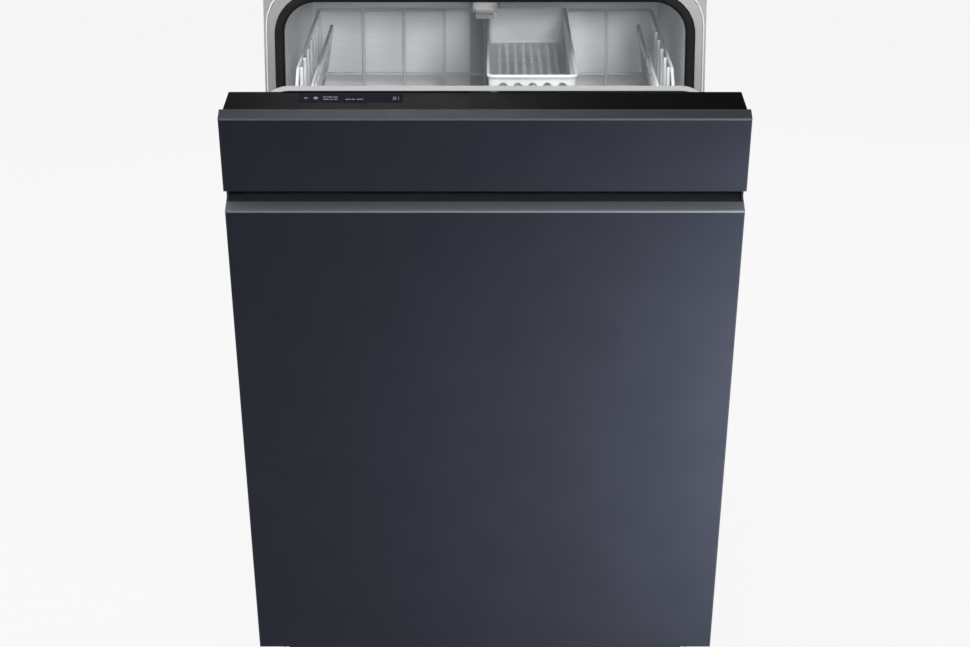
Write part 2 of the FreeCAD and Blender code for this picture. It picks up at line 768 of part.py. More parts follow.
gasket = new_body("GasketBand")
pad(gasket, "Band", "XZ", rectangle("0 - seal_outer", "seal_outer", "shell_bottom", "seal_top"),
    "0 - seal_bulge", "seal_seat")
pocket(gasket, "Mouth", "XZ", rectangle("0 - tub_half", "tub_half", "shell_bottom - 1", "tub_ceiling"),
       "0 - seal_bulge - 1", "seal_seat + 1")
soften(gasket, "InnerCorners", "Fillet", "tub_corner", runs_along("Y", X="tub_half", Z="tub_ceiling"))
soften(gasket, "OuterCorners", "Fillet", "tub_corner + seal_width", runs_along("Y", Z="seal_top"))
soften(gasket, "Bulb", "Fillet", "seal_bulge",
       lambda limits: lies_at("Y", "0 - seal_bulge")(limits) and limits.ZMax > value("shell_bottom + 1"))
lip = box("LipSeal", ("0 - tub_half", "tub_half"), ("0 - seal_gap + 0.8", "0"), ("base_top - 12", "base_top - 2"))
seat(group("tub_seal", gasket, lip), "cabinet")

sill = box("SillBar", ("0 - seal_outer", "seal_outer"), ("0", "sill_depth"), ("sill_bottom", "base_top"))
seat(group("tub_sill", sill), "cabinet")

# Outer casing


def side_panel(node, side):
    flanged = box(node + "_blank", mirrored_span(side, "body_width / 2 - flange_width", "body_width / 2"),
                  ("frame_depth", "body_depth - sheet_gauge"), ("base_bottom", "body_top - sheet_gauge"))
    inside = box(node + "_inside",
                 mirrored_span(side, "body_width / 2 - flange_width - 1", "body_width / 2 - sheet_gauge"),
                 ("frame_depth - 1", "body_depth - 2 * sheet_gauge"),
                 ("base_bottom - 1", "body_top - 2 * sheet_gauge"))
    swing_room = box(node + "_swing_room",
                     mirrored_span(side, "body_width / 2 - flange_width - 1", "body_width / 2 + 1"),
                     ("frame_depth - 1", "base_front - kick_thickness"), ("base_bottom - 1", "sill_bottom"))
    return seat(cut(node, flanged, inside, swing_room), "cabinet")


side_panel("left_side_panel", -1)
side_panel("right_side_panel", 1)

rear = new_body("rear_panel")
pad(rear, "Sheet", "XZ", rectangle("0 - body_width / 2", "body_width / 2", "base_top", "body_top - sheet_gauge"),
    "body_depth - sheet_gauge", "body_depth")
vent = pocket(rear, "Vent", "XZ", rectangle("0 - 60", "60", "base_top + 40", "base_top + 46"),
              "body_depth - 3", "body_depth + 1")
repeat(rear, "Vents", vent, "Z", "100", 6)
seat(rear, "cabinet")

top = new_body("top_cover")
pad(top, "Sheet", "XY",
    rectangle("0 - body_width / 2", "body_width / 2", "frame_depth", "body_depth"),
    "body_top - sheet_gauge", "body_top")
hole = round_pocket(top, "FixingHole", "XY", ("0 - body_width / 2 + 30", "frame_depth + 20"), "3",
                    "body_top - 3", "body_top + 1")
repeat(top, "FixingHoles", hole, "X", "body_width - 60", 2)
seat(top, "cabinet")

# Base tray with bosses for the feet, and the plinth panel

base_half = "base_width / 2"
FEET = {
    "foot_front_left": ("0 - foot_spread", "front_foot"),
    "foot_front_right": ("foot_spread", "front_foot"),
    "foot_rear": ("0", "rear_foot"),
}
tray_blank = cut(
    "BaseTray",
    box("BaseOuter", (f"0 - {base_half}", base_half), ("base_front", "base_back"), ("base_bottom", "base_top")),
    box("BaseInner", (f"base_wall - {base_half}", f"{base_half} - base_wall"),
        ("base_front + base_wall", "base_back - base_wall"),
        ("base_bottom + base_wall", "base_top - base_wall")),
    box("BaseMouth", ("24 - tub_half", "tub_half - 24"), ("base_front + 16", "base_back - 16"),
        ("base_top - base_wall - 1", "base_top + 1")),
    rod("InletHole", "inlet_radius + spigot_shoulder + fit_gap", "20",
        ("inlet_x", "base_back - 10", "base_bottom + 40"), "y"),
    rod("DrainHole", "drain_spigot_radius + spigot_shoulder + fit_gap", "20",
        ("drain_x", "base_back - 10", "base_bottom + 90"), "y"),
    rod("GlandHole", "8 + fit_gap", "20", ("gland_x", "base_back - 10", "base_bottom + 40"), "y"),
)
bosses = [rod(node + "_boss", "boss_radius", "44", (*place, "base_bottom"), "z") for node, place in FEET.items()]
bores = [rod(node + "_bore", "stem_radius + running_clearance", "60", (*place, "base_bottom - 5"), "z")
         for node, place in FEET.items()]
seat(cut("base_pan", fuse("BaseWithBosses", tray_blank, *bosses), *bores), "cabinet")

kick = new_body("toe_kick")
pad(kick, "Plate", "XZ",
    rectangle("0 - base_width / 2", "base_width / 2", "12", "hinge_z - 18"),
    "base_front - kick_thickness", "base_front")
slot = pocket(kick, "Slot", "XZ", rectangle("0 - 150", "0 - 100", "30", "36"), "base_front - 5", "base_front + 1")
repeat(kick, "Slots", slot, "X", "250", 5)
seat(kick, "cabinet")

for foot_node, foot_place in FEET.items():
    foot = new_body(foot_node)
    revolve(foot, "Turned", "XZ", (
        ("0", "0"),
        ("foot_radius - 1.5", "0"),
        ("foot_radius", "1.5"),
        ("foot_radius", "foot_disc - 2"),
        ("foot_radius - 5", "foot_disc"),
        ("stem_radius + 4", "foot_disc"),
        ("stem_radius + 4", "foot_disc + 8"),
        ("stem_radius", "foot_disc + 8"),
        ("stem_radius", "stem_length - 1"),
        ("stem_radius - 1", "stem_length"),
        ("0", "stem_length"),
    ))
    seat(foot, "cabinet", (*foot_place, "0"))

# Sump, filters, pumps, softener and connections

sump = new_body("sump")
sump_low = "base_top - sump_depth"
revolve(sump, "Bowl", "XZ", (
    ("0", sump_low),
    ("filter_radius + 8", sump_low),
    ("filter_radius + 10", "base_top - 40"),
    ("sump_radius - 6", "base_top - 8"),
    ("sump_radius", "base_top - 8"),
    ("sump_radius", "base_top"),
    ("sump_radius - 8", "base_top"),
    ("sump_radius - 10", "base_top - 6"),
    ("filter_radius + 7", "base_top - 38"),
    ("filter_radius + 5", f"{sump_low} + 3"),
    ("0", f"{sump_low} + 3"),
))
round_pad(sump, "Outlet", "YZ", ("34", f"{sump_low} + 20"), "10", "filter_radius - 8", "filter_radius + 30")
seat(sump, "cabinet", ("0", "sump_centre", "0"))

fine = new_body("fine_filter")
revolve(fine, "Dish", "XZ", (
    ("filter_radius + fit_gap", "base_top - 14"),
    ("filter_radius + 4", "base_top - 14"),
    ("sump_radius - 10", "tub_floor"),
    ("sump_radius", "tub_floor"),
    ("sump_radius", "tub_floor + 2"),
    ("sump_radius - 11", "tub_floor + 2"),
    ("filter_radius + 3", "base_top - 11"),
    ("filter_radius + fit_gap", "base_top - 11"),
))
seat(fine, "cabinet", ("0", "sump_centre", "0"))

coarse = new_body("coarse_filter")
revolve(coarse, "Basket", "XZ", (
    ("filter_radius - 3", f"{sump_low} + 3.3"),
    ("filter_radius", f"{sump_low} + 3.3"),
    ("filter_radius", "base_top - 10.7"),
    ("filter_radius + 2.5", "base_top - 10.7"),
    ("filter_radius + 2.5", "base_top - 7"),
    ("filter_radius - 4", "base_top - 7"),
    ("filter_radius - 4", "base_top - 10"),
    ("filter_radius - 3", "base_top - 10"),
))
pad(coarse, "Handle", "XZ", (
    ("4 - filter_radius", "base_top - 9"),
    ("filter_radius - 4", "base_top - 9"),
    ("filter_radius - 10", "tub_floor + 8"),
    ("10 - filter_radius", "tub_floor + 8"),
), "0 - 3", "3")
seat(coarse, "cabinet", ("0", "sump_centre", "0"))

pump_z = "base_bottom + base_wall + pump_radius + 6"
pump = fuse(
    "circulation_pump",
    rod("PumpVolute", "pump_radius", "pump_volute", ("0 - 14 - pump_volute", "pump_centre", pump_z), "x"),
    rod("PumpMotor", "pump_radius - 12", "pump_motor", ("0 - 15", "pump_centre", pump_z), "x"),
    rod("PumpEye", "12", "22", ("0 - 34 - pump_volute", "pump_centre", pump_z), "x"),
    rod("PumpOutlet", "post_radius - 3", "pump_centre - arm_centre", ("0", "arm_centre", "base_top - 28"), "y"),
    rod("PumpRiser", "post_radius - 3", "40", ("0", "arm_centre", "base_top - 40"), "z"),
    box("PumpSaddle", ("0 - 60", "60"), ("pump_centre - 34", "pump_centre + 34"),
        ("base_bottom + base_wall", "base_bottom + base_wall + 22")),
)
seat(pump, "cabinet")

drain_y = "sump_centre + 34"
drain_z = f"{sump_low} + 20"
drain = fuse(
    "drain_pump",
    rod("DrainVolute", "drain_radius + 5", "24", ("110", drain_y, drain_z), "x"),
    rod("DrainMotor", "drain_radius", "60", ("130", drain_y, drain_z), "x"),
    rod("DrainEye", "9", "46 - filter_radius + 38", ("filter_radius + 30", drain_y, drain_z), "x"),
    box("DrainSaddle", ("112", "186"), (f"{drain_y} - 20", f"{drain_y} + 20"), ("base_bottom + base_wall", drain_z)),
)
seat(drain, "cabinet")

softener = new_body("water_softener")
pad(softener, "Tank", "XY",
    rectangle("base_wall + 3 - base_width / 2", "60 - salt_offset", "salt_back - 50", "salt_back + 62"),
    "base_bottom + base_wall", "base_top - 14")
soften(softener, "Corners", "Fillet", "14", runs_along("Z"))
round_pad(softener, "Neck", "XY", ("0 - salt_offset", "salt_back"), "salt_radius", "base_top - 15", "tub_floor + 3")
round_pocket(softener, "Well", "XY", ("0 - salt_offset", "salt_back"), "salt_radius - 6",
             "base_top - 60", "tub_floor + 4")
seat(softener, "cabinet")

salt = new_body("salt_cap")
salt_low = "tub_floor + 3 + fit_gap"
revolve(salt, "Lid", "XZ", (
    ("0", f"{salt_low} - 10"),
    ("salt_radius - 6 - running_clearance", f"{salt_low} - 10"),
    ("salt_radius - 6 - running_clearance", salt_low),
    ("salt_radius + salt_rim", salt_low),
    ("salt_radius + salt_rim", f"{salt_low} + 5"),
    ("salt_radius + salt_rim - 2", f"{salt_low} + 7"),
    ("0", f"{salt_low} + 7"),
))
pad(salt, "Grip", "XZ", rectangle("6 - salt_radius", "salt_radius - 6", f"{salt_low} + 6", f"{salt_low} + 11"),
    "0 - 4", "4")
seat(salt, "cabinet", ("0 - salt_offset", "salt_back", "0"))

inlet = fuse(
    "ValveForm",
    box("ValveBlock", ("inlet_x - 18", "inlet_x + 18"), ("base_back - base_wall - 50", "base_back - base_wall"),
        ("base_bottom + 20", "base_bottom + 62")),
    rod("ValveCoil", "15", "34", ("inlet_x", "base_back - base_wall - 26", "base_bottom + 58"), "z"),
    rod("ValveShoulder", "inlet_radius + spigot_shoulder", "base_wall + shoulder_width",
        ("inlet_x", "base_back - base_wall", "base_bottom + 40"), "y"),
    rod("ValveSpigot", "inlet_radius", "service_recess - spigot_recess",
        ("inlet_x", "base_back", "base_bottom + 40"), "y"),
)
seat(cut("water_inlet_valve", inlet,
         rod("ValveBore", "inlet_radius - 4", "40", ("inlet_x", "base_back - 14", "base_bottom + 40"), "y")), "cabinet")

spigot = cut(
    "drain_spigot",
    fuse("SpigotForm",
         rod("SpigotStub", "drain_spigot_radius + spigot_shoulder", "27 + shoulder_width",
             ("drain_x", "base_back - 27", "base_bottom + 90"), "y"),
         rod("SpigotTube", "drain_spigot_radius", "service_recess - spigot_recess",
             ("drain_x", "base_back", "base_bottom + 90"), "y"),
         rod("SpigotCollar", "drain_spigot_radius + 6", "4", ("drain_x", "base_back - base_wall - 4", "base_bottom + 90"),
             "y")),
    rod("SpigotBore", "drain_spigot_radius - 2", "80", ("drain_x", "base_back - 40", "base_bottom + 90"), "y"),
)
seat(spigot, "cabinet")

gland = cut(
    "mains_gland",
    fuse("GlandForm",
         rod("GlandStem", "8", "24", ("gland_x", "base_back - 12", "base_bottom + 40"), "y"),
         rod("GlandNut", "12", "8", ("gland_x", "base_back", "base_bottom + 40"), "y"),
         rod("GlandRing", "12", "4", ("gland_x", "base_back - base_wall - 4", "base_bottom + 40"), "y")),
    rod("GlandBore", "gland_bore", "60", ("gland_x", "base_back - 30", "base_bottom + 40"), "y"),
)
seat(gland, "cabinet")

# Feed duct up the back wall and along the ceiling, with the port that the upper rack docks on

port_z = "upper_base - wire / 2 - 9"
ceiling_duct = cut(
    "CeilingDuct",
    fuse("CeilingForm",
         box("CeilingRun", ("0 - duct_width / 2", "duct_width / 2"), ("arm_centre - 20", "tub_depth"),
             ("tub_ceiling - duct_depth", "tub_ceiling")),
         rod("CeilingPin", "arm_pin", "duct_depth + 12", ("0", "arm_centre", "tub_ceiling - duct_depth - 12"), "z"),
         rod("CeilingNut", "arm_pin + 4", "3", ("0", "arm_centre", "tub_ceiling - duct_depth - 15"), "z")),
    box("CeilingTrim", ("0 - duct_width", "duct_width"), ("duct_front", "tub_depth + 1"),
        ("tub_ceiling - duct_depth - 1", "tub_ceiling - duct_depth")),
)
riser = fuse(
    "Riser",
    box("RiserRun", ("0 - duct_width / 2", "duct_width / 2"), ("duct_front", "tub_depth"),
        ("tub_floor", "tub_ceiling - duct_depth")),
    rod("RiserPort", "8", "6", ("0", "duct_front - 4", port_z), "y"),
)
floor_duct = box("FloorDuct", ("0 - duct_width / 2", "duct_width / 2"), ("arm_centre + post_radius", "duct_front"),
                 ("tub_floor", "tub_floor + duct_depth"))
seat(group("feed_duct", ceiling_duct, riser, floor_duct), "cabinet")

post = new_body("lower_arm_post")
revolve(post, "Post", "XZ", (
    ("0", "base_top"),
    ("post_radius", "base_top"),
    ("post_radius", "wheel_level + 1.5"),
    ("arm_pin", "wheel_level + 1.5"),
    ("arm_pin", "wheel_level + 1.5 + arm_thickness + 2 * fit_gap"),
    ("arm_pin + 4", "wheel_level + 1.5 + arm_thickness + 2 * fit_gap"),
    ("arm_pin + 4", "wheel_level + 5 + arm_thickness"),
    ("0", "wheel_level + 5 + arm_thickness"),
))
seat(post, "cabinet", ("0", "arm_centre", "0"))


# Spray arms: tapered blades with a bored hub and a row of nozzles on each side

def spray_arm(node, reach, carrier, low):
    body = new_body(node)
    high = f"{low} + arm_thickness"
    pad(body, "Blade", "XY", (
        (f"0 - ({reach})", "0 - arm_tip / 2"),
        ("0 - 30", "0 - arm_width / 2"),
        ("30", "0 - arm_width / 2"),
        (reach, "0 - arm_tip / 2"),
        (reach, "arm_tip / 2"),
        ("30", "arm_width / 2"),
        ("0 - 30", "arm_width / 2"),
        (f"0 - ({reach})", "arm_tip / 2"),
    ), low, high)
    soften(body, "Tips", "Fillet", "arm_tip * 0.4", runs_along("Z", X=reach))
    soften(body, "Crown", "Chamfer", "arm_thickness * 0.3", lies_at("Z", high))
    round_pocket(body, "Bore", "XY", ("0", "0"), "arm_pin + running_clearance", f"{low} - 1", f"{high} + 1")
    for side in (-1, 1):
        tag = "Right" if side > 0 else "Left"
        start = f"{side} * ({reach}) * 0.3"
        span = f"({reach}) * 0.6"
        nozzle = pocket(body, "Nozzle" + tag, "XY",
                        rectangle(f"{start} - 5", f"{start} + 5", "0 - 1.5", "1.5"),
                        f"{high} - 4", f"{high} + 1")
        row = repeat(body, "Nozzles" + tag, nozzle, "X", span, 5)
        row.Reversed = side < 0
    doc.recompute()
    return seat(body, carrier, ("0", "arm_centre", "0"))


spray_arm("lower_spray_arm", "arm_reach", "cabinet", "wheel_level + 1.5 + fit_gap")
spray_arm("ceiling_spray_arm", "top_arm_reach", "cabinet", "tub_ceiling - duct_depth - arm_thickness - 0.6")
spray_arm("upper_spray_arm", "arm_reach", "upper_rack", "upper_arm_top - fit_gap - arm_thickness")

feed = fuse(
    "upper_feed_tube",
    box("FeedTube", ("0 - 9", "9"), ("arm_centre - 14", "rack_back"), (f"{port_z} - 9", "upper_base - wire / 2")),
    rod("FeedHub", "post_radius", "26", ("0", "arm_centre", "upper_arm_top"), "z"),
    rod("FeedPin", "arm_pin", "arm_thickness + 2", ("0", "arm_centre", "upper_arm_top - arm_thickness - 2 * fit_gap"),
        "z"),
    rod("FeedNut", "arm_pin + 4", "3", ("0", "arm_centre", "upper_arm_top - arm_thickness - 3 - 2 * fit_gap"), "z"),
)
seat(feed, "upper_rack")


# Rack runners: telescopic rails for the upper rack, ledges and wheels for the lower one

def rail(node, depth_from, depth_to, shrink, front, back, carrier):
    """A pair of channels open towards the middle; the last one is a plain bar."""
    low = f"rail_level + {shrink}"
    high = f"rail_level + rail_height - {shrink}"
    sides = []
    for side in (-1, 1):
        tag = node + ("_right" if side > 0 else "_left")
        blank = box(tag + "_blank", mirrored_span(side, depth_from, depth_to), (front, back), (low, high))
        if carrier == "upper_rack":
            sides.append(blank)
            continue
        inside = box(tag + "_inside", mirrored_span(side, f"{depth_from} - 1", f"{depth_to} - rail_wall"),
                     (f"{front} - 1", f"{back} + 1"), (f"{low} + rail_wall", f"{high} - rail_wall"))
        sides.append(cut(tag, blank, inside))
    return seat(group(node, *sides), carrier)


rail_in = "tub_half - rail_depth"
rail_step = "rail_wall + fit_gap"
rail("upper_rail_outer", f"{rail_in} + 3", "tub_half", "0", "14", "rack_back + 8", "cabinet")
rail("upper_rail_middle", f"{rail_in} + 1.5", f"tub_half - ({rail_step})", f"({rail_step})",
     "16", "rack_back + 4", "rail_middle")
rail("upper_rail_inner", f"{rail_in}", f"tub_half - 2 * ({rail_step})", f"2 * ({rail_step})",
     "rack_front + 2", "rack_back - 4", "upper_rack")

ledges = [box("Ledge" + tag, mirrored_span(side, "tub_half - ledge_width", "tub_half"), ("seal_seat + 2", "duct_front"),
              ("tub_floor", "wheel_level")) for tag, side in (("Left", -1), ("Right", 1))]
seat(group("lower_rack_rails", *ledges), "cabinet")

AXLES = {"front": "rack_front + axle_inset", "rear": "rack_back - axle_inset"}
wheel_in = "lower_half + 1.5 * wire + 4"


def wheel_pair(node, place):
    wheels = []
    for side in (-1, 1):
        body = new_body(node + ("_right" if side > 0 else "_left"))
        inner, outer = mirrored_span(side, wheel_in, f"{wheel_in} + wheel_width")
        revolve(body, "Tread", "XZ", (
            (inner, "axle_radius + running_clearance"),
            (outer, "axle_radius + running_clearance"),
            (outer, "wheel_radius - 1.5"),
            (f"{outer} - 1.5", "wheel_radius"),
            (f"{inner} + 1.5", "wheel_radius"),
            (inner, "wheel_radius - 1.5"),
        ), "H_Axis")
        wheels.append(body)
    pair = group(node, *wheels)
    return seat(pair, "lower_rack", ("0", place, "axle_z"))


for key, place in AXLES.items():
    wheel_pair(f"{key}_wheels", place)

carriers = []
for key, place in AXLES.items():
    for side in (-1, 1):
        tag = key + ("Right" if side > 0 else "Left")
        plate = mirrored_span(side, "lower_half + 1.5 * wire", f"{wheel_in} - fit_gap")
        axle = mirrored_span(side, "lower_half + 1.5 * wire", f"{wheel_in} + wheel_width + 2")
        carriers.append(fuse(
            "WheelCarrier" + tag,
            box("CarrierPlate" + tag, plate, (f"{place} - 12", f"{place} + 12"), ("axle_z - 8", "lower_base + 66")),
            rod("CarrierAxle" + tag, "axle_radius", f"({axle[1]}) - ({axle[0]})", (axle[0], place, "axle_z"), "x"),
        ))
seat(group("wheel_carriers", *carriers), "lower_rack")


# Wire racks: flat grids of hexagonal wire, each welded into one solid

WIRE = value("wire")


def bar(start, end, flat, gauge=WIRE):
    """A hexagonal wire from start to end with one pair of flats facing a direction."""
    along = end.sub(start)
    side = along.cross(flat).normalize()
    up = side.cross(along).normalize()
    corners = []
    for number in range(6):
        angle = math.radians(30 + 60 * number)
        corners.append(start + (up * math.cos(angle) + side * math.sin(angle)) * (gauge / math.sqrt(3)))
    return Part.Face(Part.makePolygon(corners + corners[:1])).extrude(along)


def weld(bars):
    return bars[0].multiFuse(bars[1:])


def spread(low, high, count):
    return [low + (high - low) * number / (count - 1) for number in range(count)]


UP = Vector(0, 0, 1)
ACROSS = Vector(1, 0, 0)
DEEP = Vector(0, 1, 0)


def basket_panels(half, base, rim, front_rim, mid_levels):
    """Floor, sides, front and back of one rack, drawn parked. The side rims run down to the front rim."""
    front = value("rack_front") + WIRE / 2
    back = value("rack_back") - WIRE / 2
    rows = spread(front, back, 9)
    columns = spread(-half, half, 9)
    inner = half - WIRE / 2
    panels = []
    floor = [bar(Vector(-inner, y, base), Vector(inner, y, base), UP) for y in rows[1:-1]]
    floor += [bar(Vector(x, front + WIRE / 2, base + WIRE), Vector(x, back - WIRE / 2, base + WIRE), UP)
              for x in columns[1:-1]]
    panels.append(weld(floor))
    for side in (-1, 1):
        x = side * half
        wall = [bar(Vector(x, y, base - WIRE / 2), Vector(x, y, rim), ACROSS) for y in rows[1:-1]]
        rail_x = side * (half + WIRE)
        wall += [bar(Vector(rail_x, front - WIRE, z), Vector(rail_x, back + WIRE, z), ACROSS) for z in mid_levels]
        bend = Vector(rail_x, rows[1], rim - WIRE / 2)
        wall.append(bar(Vector(rail_x, front - WIRE, front_rim - WIRE / 2), bend, ACROSS))
        wall.append(bar(bend, Vector(rail_x, back + WIRE, rim - WIRE / 2), ACROSS))
        panels.append(weld(wall))
    for y, outward, top in ((front, -1, front_rim), (back, 1, rim)):
        wall = [bar(Vector(x, y, base - WIRE / 2), Vector(x, y, top), DEEP) for x in columns[1:-1]]
        rail_y = y + outward * WIRE
        reach = half + WIRE / 2
        for z in (*mid_levels, top - WIRE / 2):
            wall.append(bar(Vector(-reach, rail_y, z), Vector(reach, rail_y, z), DEEP))
        panels.append(weld(wall))
    return panels


def pivot(start, end):
    """A round wire that its piece turns on."""
    along = end.sub(start)
    return Part.makeCylinder(WIRE / 2, along.Length, start, along)


def tine_row(x, base, length, places, spine=None):
    """A comb of upright tines on its own base wire."""
    ends = Vector(x, places[0] - 10, base), Vector(x, places[-1] + 10, base)
    comb = [spine(*ends) if spine else bar(*ends, UP)]
    for y in places:
        foot = Vector(x, y, base if spine else base + WIRE / 2)
        comb.append(bar(foot, Vector(x, y, base + WIRE / 2 + length), ACROSS))
    return weld(comb)


def wire_node(node, carrier, solids):
    piece = doc.addObject("Part::Feature", node)
    piece.Shape = solids[0] if len(solids) == 1 else Part.makeCompound(solids)
    return seat(piece, carrier)


FRONT = value("rack_front")
BACK = value("rack_back")
UPPER = {key: value("upper_" + key) for key in ("half", "base", "rim")}
LOWER = {key: value("lower_" + key) for key in ("half", "base", "rim")}
plate_places = spread(FRONT + value("tine_margin"), BACK - value("tine_margin"), 11)

upper_levels = [UPPER["base"] + 50, value("rail_level + rail_height / 2")]
upper_solids = basket_panels(UPPER["half"], UPPER["base"], UPPER["rim"], value("upper_front_rim"), upper_levels)
for column in ("plate_tines", "saucer_tines"):
    upper_solids.append(tine_row(-value(column), UPPER["base"] + WIRE, value("tine_length") * 0.75, plate_places))
wire_node("upper_rack_basket", "upper_rack", upper_solids)

lower_solids = basket_panels(LOWER["half"], LOWER["base"], LOWER["rim"], LOWER["rim"], [LOWER["base"] + 60])
lower_solids.append(tine_row(value("pot_tines"), LOWER["base"] + WIRE, value("tine_length") * 0.5, plate_places))
wire_node("lower_rack_basket", "lower_rack", lower_solids)

FOLD_BASE = LOWER["base"] + 2 * WIRE + 0.4
lower_columns = spread(-LOWER["half"], LOWER["half"], 9)
half_step = (plate_places[1] - plate_places[0]) / 2
wire_node("folding_tines_outer", "lower_rack",
          [tine_row(lower_columns[1], FOLD_BASE, value("tine_length"), plate_places, pivot)])
between_places = [y + half_step for y in plate_places[:-1]]
wire_node("folding_tines_inner", "lower_rack",
          [tine_row(lower_columns[3], FOLD_BASE, value("tine_length"), between_places, pivot)])

# Cup shelves: a wavy wire between two straight ones, folded up beside each rack wall


def cup_shelf(node, side):
    hinge_x = side * (UPPER["half"] - WIRE - value("fit_gap"))
    low = value("rail_level + shelf_rise")
    width = value("shelf_width")
    lean = math.radians(value("shelf_lean"))
    rise = Vector(-side * math.sin(lean), 0, math.cos(lean))
    face = Vector(math.cos(lean), 0, side * math.sin(lean))
    near_end, far_end = FRONT + value("shelf_margin"), BACK - value("shelf_margin")
    root = Vector(hinge_x, 0, low)
    crests = spread(near_end + 8, far_end - 8, 17)
    wave = []
    for number, y in enumerate(crests):
        wave.append(root + DEEP * y + rise * (1 if number % 2 else width - 1))
    zigzag = [bar(a, b, face, 3.0) for a, b in zip(wave, wave[1:])]
    rods = [pivot(root + DEEP * near_end, root + DEEP * far_end),
            bar(root + rise * width + DEEP * near_end, root + rise * width + DEEP * far_end, rise)]
    ends = [bar(root + DEEP * y, root + DEEP * y + rise * width, face) for y in (near_end, far_end)]
    return wire_node(node, "upper_rack", [weld(rods + ends + zigzag)])


cup_shelf("cup_shelf_left", -1)
cup_shelf("cup_shelf_right", 1)

# Cutlery tray that stands on the upper rack's front rim and hooks over its back rim

tray_right = "tray_left + tray_width"
tray = new_body("cutlery_tray")
pad(tray, "Block", "XY", rectangle("tray_left", tray_right, "tray_front", "rack_back - wire - 1"),
    "tray_low", "tray_hook + 2")
soften(tray, "Corners", "Fillet", "10", runs_along("Z"))
shell(tray, "Hollow", "tray_wall", lies_at("Z", "tray_hook + 2"))
pad(tray, "BackHook", "XY", rectangle("tray_left + 14", f"{tray_right} - 14", "rack_back - wire - 2",
                                      "rack_back + wire"), "tray_hook", "tray_hook + 2")
slot = pocket(tray, "FloorSlot", "XY",
              rectangle("tray_left + 14", f"{tray_right} - 14", "rack_front + 22", "rack_front + 30"),
              "tray_low - 1", "tray_low + tray_wall + 1")
repeat(tray, "FloorSlots", slot, "Y", "rack_length - 52", 20)
arch = pocket(tray, "Arch", "XZ", rectangle("tray_left + 14", "tray_left + 22", "tray_low + 8", "upper_rim - 8"),
              "tray_front - 1", "tray_front + tray_wall + 1")
repeat(tray, "Arches", arch, "X", "tray_width - 36", 5)
seat(tray, "upper_rack")

# Handles on the racks' front rims


def rack_handle(node, rim, carrier):
    body = new_body(node)
    pad(body, "Grip", "XZ", rectangle("0 - 65", "65", f"{rim} - 16", f"{rim} + 4"),
        "rack_front - wire - 9", "rack_front - wire")
    soften(body, "Ends", "Fillet", "8", runs_along("Y"))
    return seat(body, carrier)


rack_handle("lower_rack_handle", "lower_rim", "lower_rack")

# Checks and export

doc.recompute()
for thing in doc.Objects:
    if "Invalid" in thing.State or "Error" in thing.State:
        raise RuntimeError(f"{thing.Name} did not rebuild: {thing.State}")
os.makedirs("parts", exist_ok=True)
for piece in NODES:
    form = piece.Shape
    if form.isNull() or not form.isValid() or not form.Solids:
        raise RuntimeError(f"{piece.Label} has no sound solid")
    form.exportStep(f"parts/{piece.Label}.step")
    print(f"{piece.Label}: {len(form.Solids)} solids, {form.Volume / 1000:.1f} cm3")
print(f"{len(NODES)} nodes; tub front plane at y {value('front_plane'):.3f} mm")
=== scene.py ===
# %% [markdown]
# # A dishwasher with its door part open
#
# The solids come from the CAD frame, in metres, and stay where they are. This lesson dresses them: it
# gives every surface a procedural finish, turns the racks' plain bars into bent round wire, and adds the
# small repeated things, such as screws and perforations, with Geometry Nodes.

# %% Load the frame
import json
import math

import bpy
from mathutils import Matrix, Vector


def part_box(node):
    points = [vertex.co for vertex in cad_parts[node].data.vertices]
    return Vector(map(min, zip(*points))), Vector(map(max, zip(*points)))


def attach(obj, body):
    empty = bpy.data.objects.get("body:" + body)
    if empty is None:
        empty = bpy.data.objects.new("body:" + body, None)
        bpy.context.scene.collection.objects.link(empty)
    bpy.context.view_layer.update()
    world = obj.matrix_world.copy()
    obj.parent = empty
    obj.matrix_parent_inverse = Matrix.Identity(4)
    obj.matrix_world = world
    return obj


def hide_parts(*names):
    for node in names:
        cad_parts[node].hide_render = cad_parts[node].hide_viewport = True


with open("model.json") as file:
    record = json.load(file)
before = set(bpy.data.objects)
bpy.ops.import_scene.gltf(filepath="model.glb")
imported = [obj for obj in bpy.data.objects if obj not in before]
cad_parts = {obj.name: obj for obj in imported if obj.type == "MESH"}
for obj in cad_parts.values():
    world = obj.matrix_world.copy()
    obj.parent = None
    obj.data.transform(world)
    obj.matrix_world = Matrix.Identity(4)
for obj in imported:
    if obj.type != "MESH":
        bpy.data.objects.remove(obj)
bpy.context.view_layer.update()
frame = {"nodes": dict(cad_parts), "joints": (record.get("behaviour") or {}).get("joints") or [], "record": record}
joints = {joint["name"]: joint for joint in frame["joints"]}

# %% [markdown]
# ## Door coordinates
#
# The door leans open at rest, which is awkward to measure on. Its details could be worked out on the slope,
# with a sine and a cosine in every line. Instead they are placed as if the door were shut, and one turn
# about the hinge carries them to the rest pose.

# %% Door coordinates
hinge_place = Vector(joints["door_hinge"]["pos_m"])
OPEN_ANGLE = -math.radians(joints["door_hinge"]["range_deg"][0])
lean = Matrix.Rotation(OPEN_ANGLE, 4, "X")
TO_REST = Matrix.Translation(hinge_place) @ lean @ Matrix.Translation(-hinge_place)


def shut_box(node):
    """Lowest and highest corner that a door node would have with the door shut."""
    back = TO_REST.inverted()
    corners = [back @ v.co for v in frame["nodes"][node].data.vertices]
    return Vector(map(min, zip(*corners))), Vector(map(max, zip(*corners)))


print("door open by", round(math.degrees(OPEN_ANGLE), 2), "degrees at rest")

# %% [markdown]
# ## Camera
#
# The picture was taken from the front, a little above, with a long lens, so that its perspective is mild.
# A camera could be placed by eye. Here its place comes from the perspective of the door's four corners,
# which fixes the lens, the height and the downward tilt.

# %% Camera
CAMERA_PLACE = (0, -2.92658, 1.3354)
CAMERA_TILT = math.radians(73)
CAMERA_LENS = 93.24

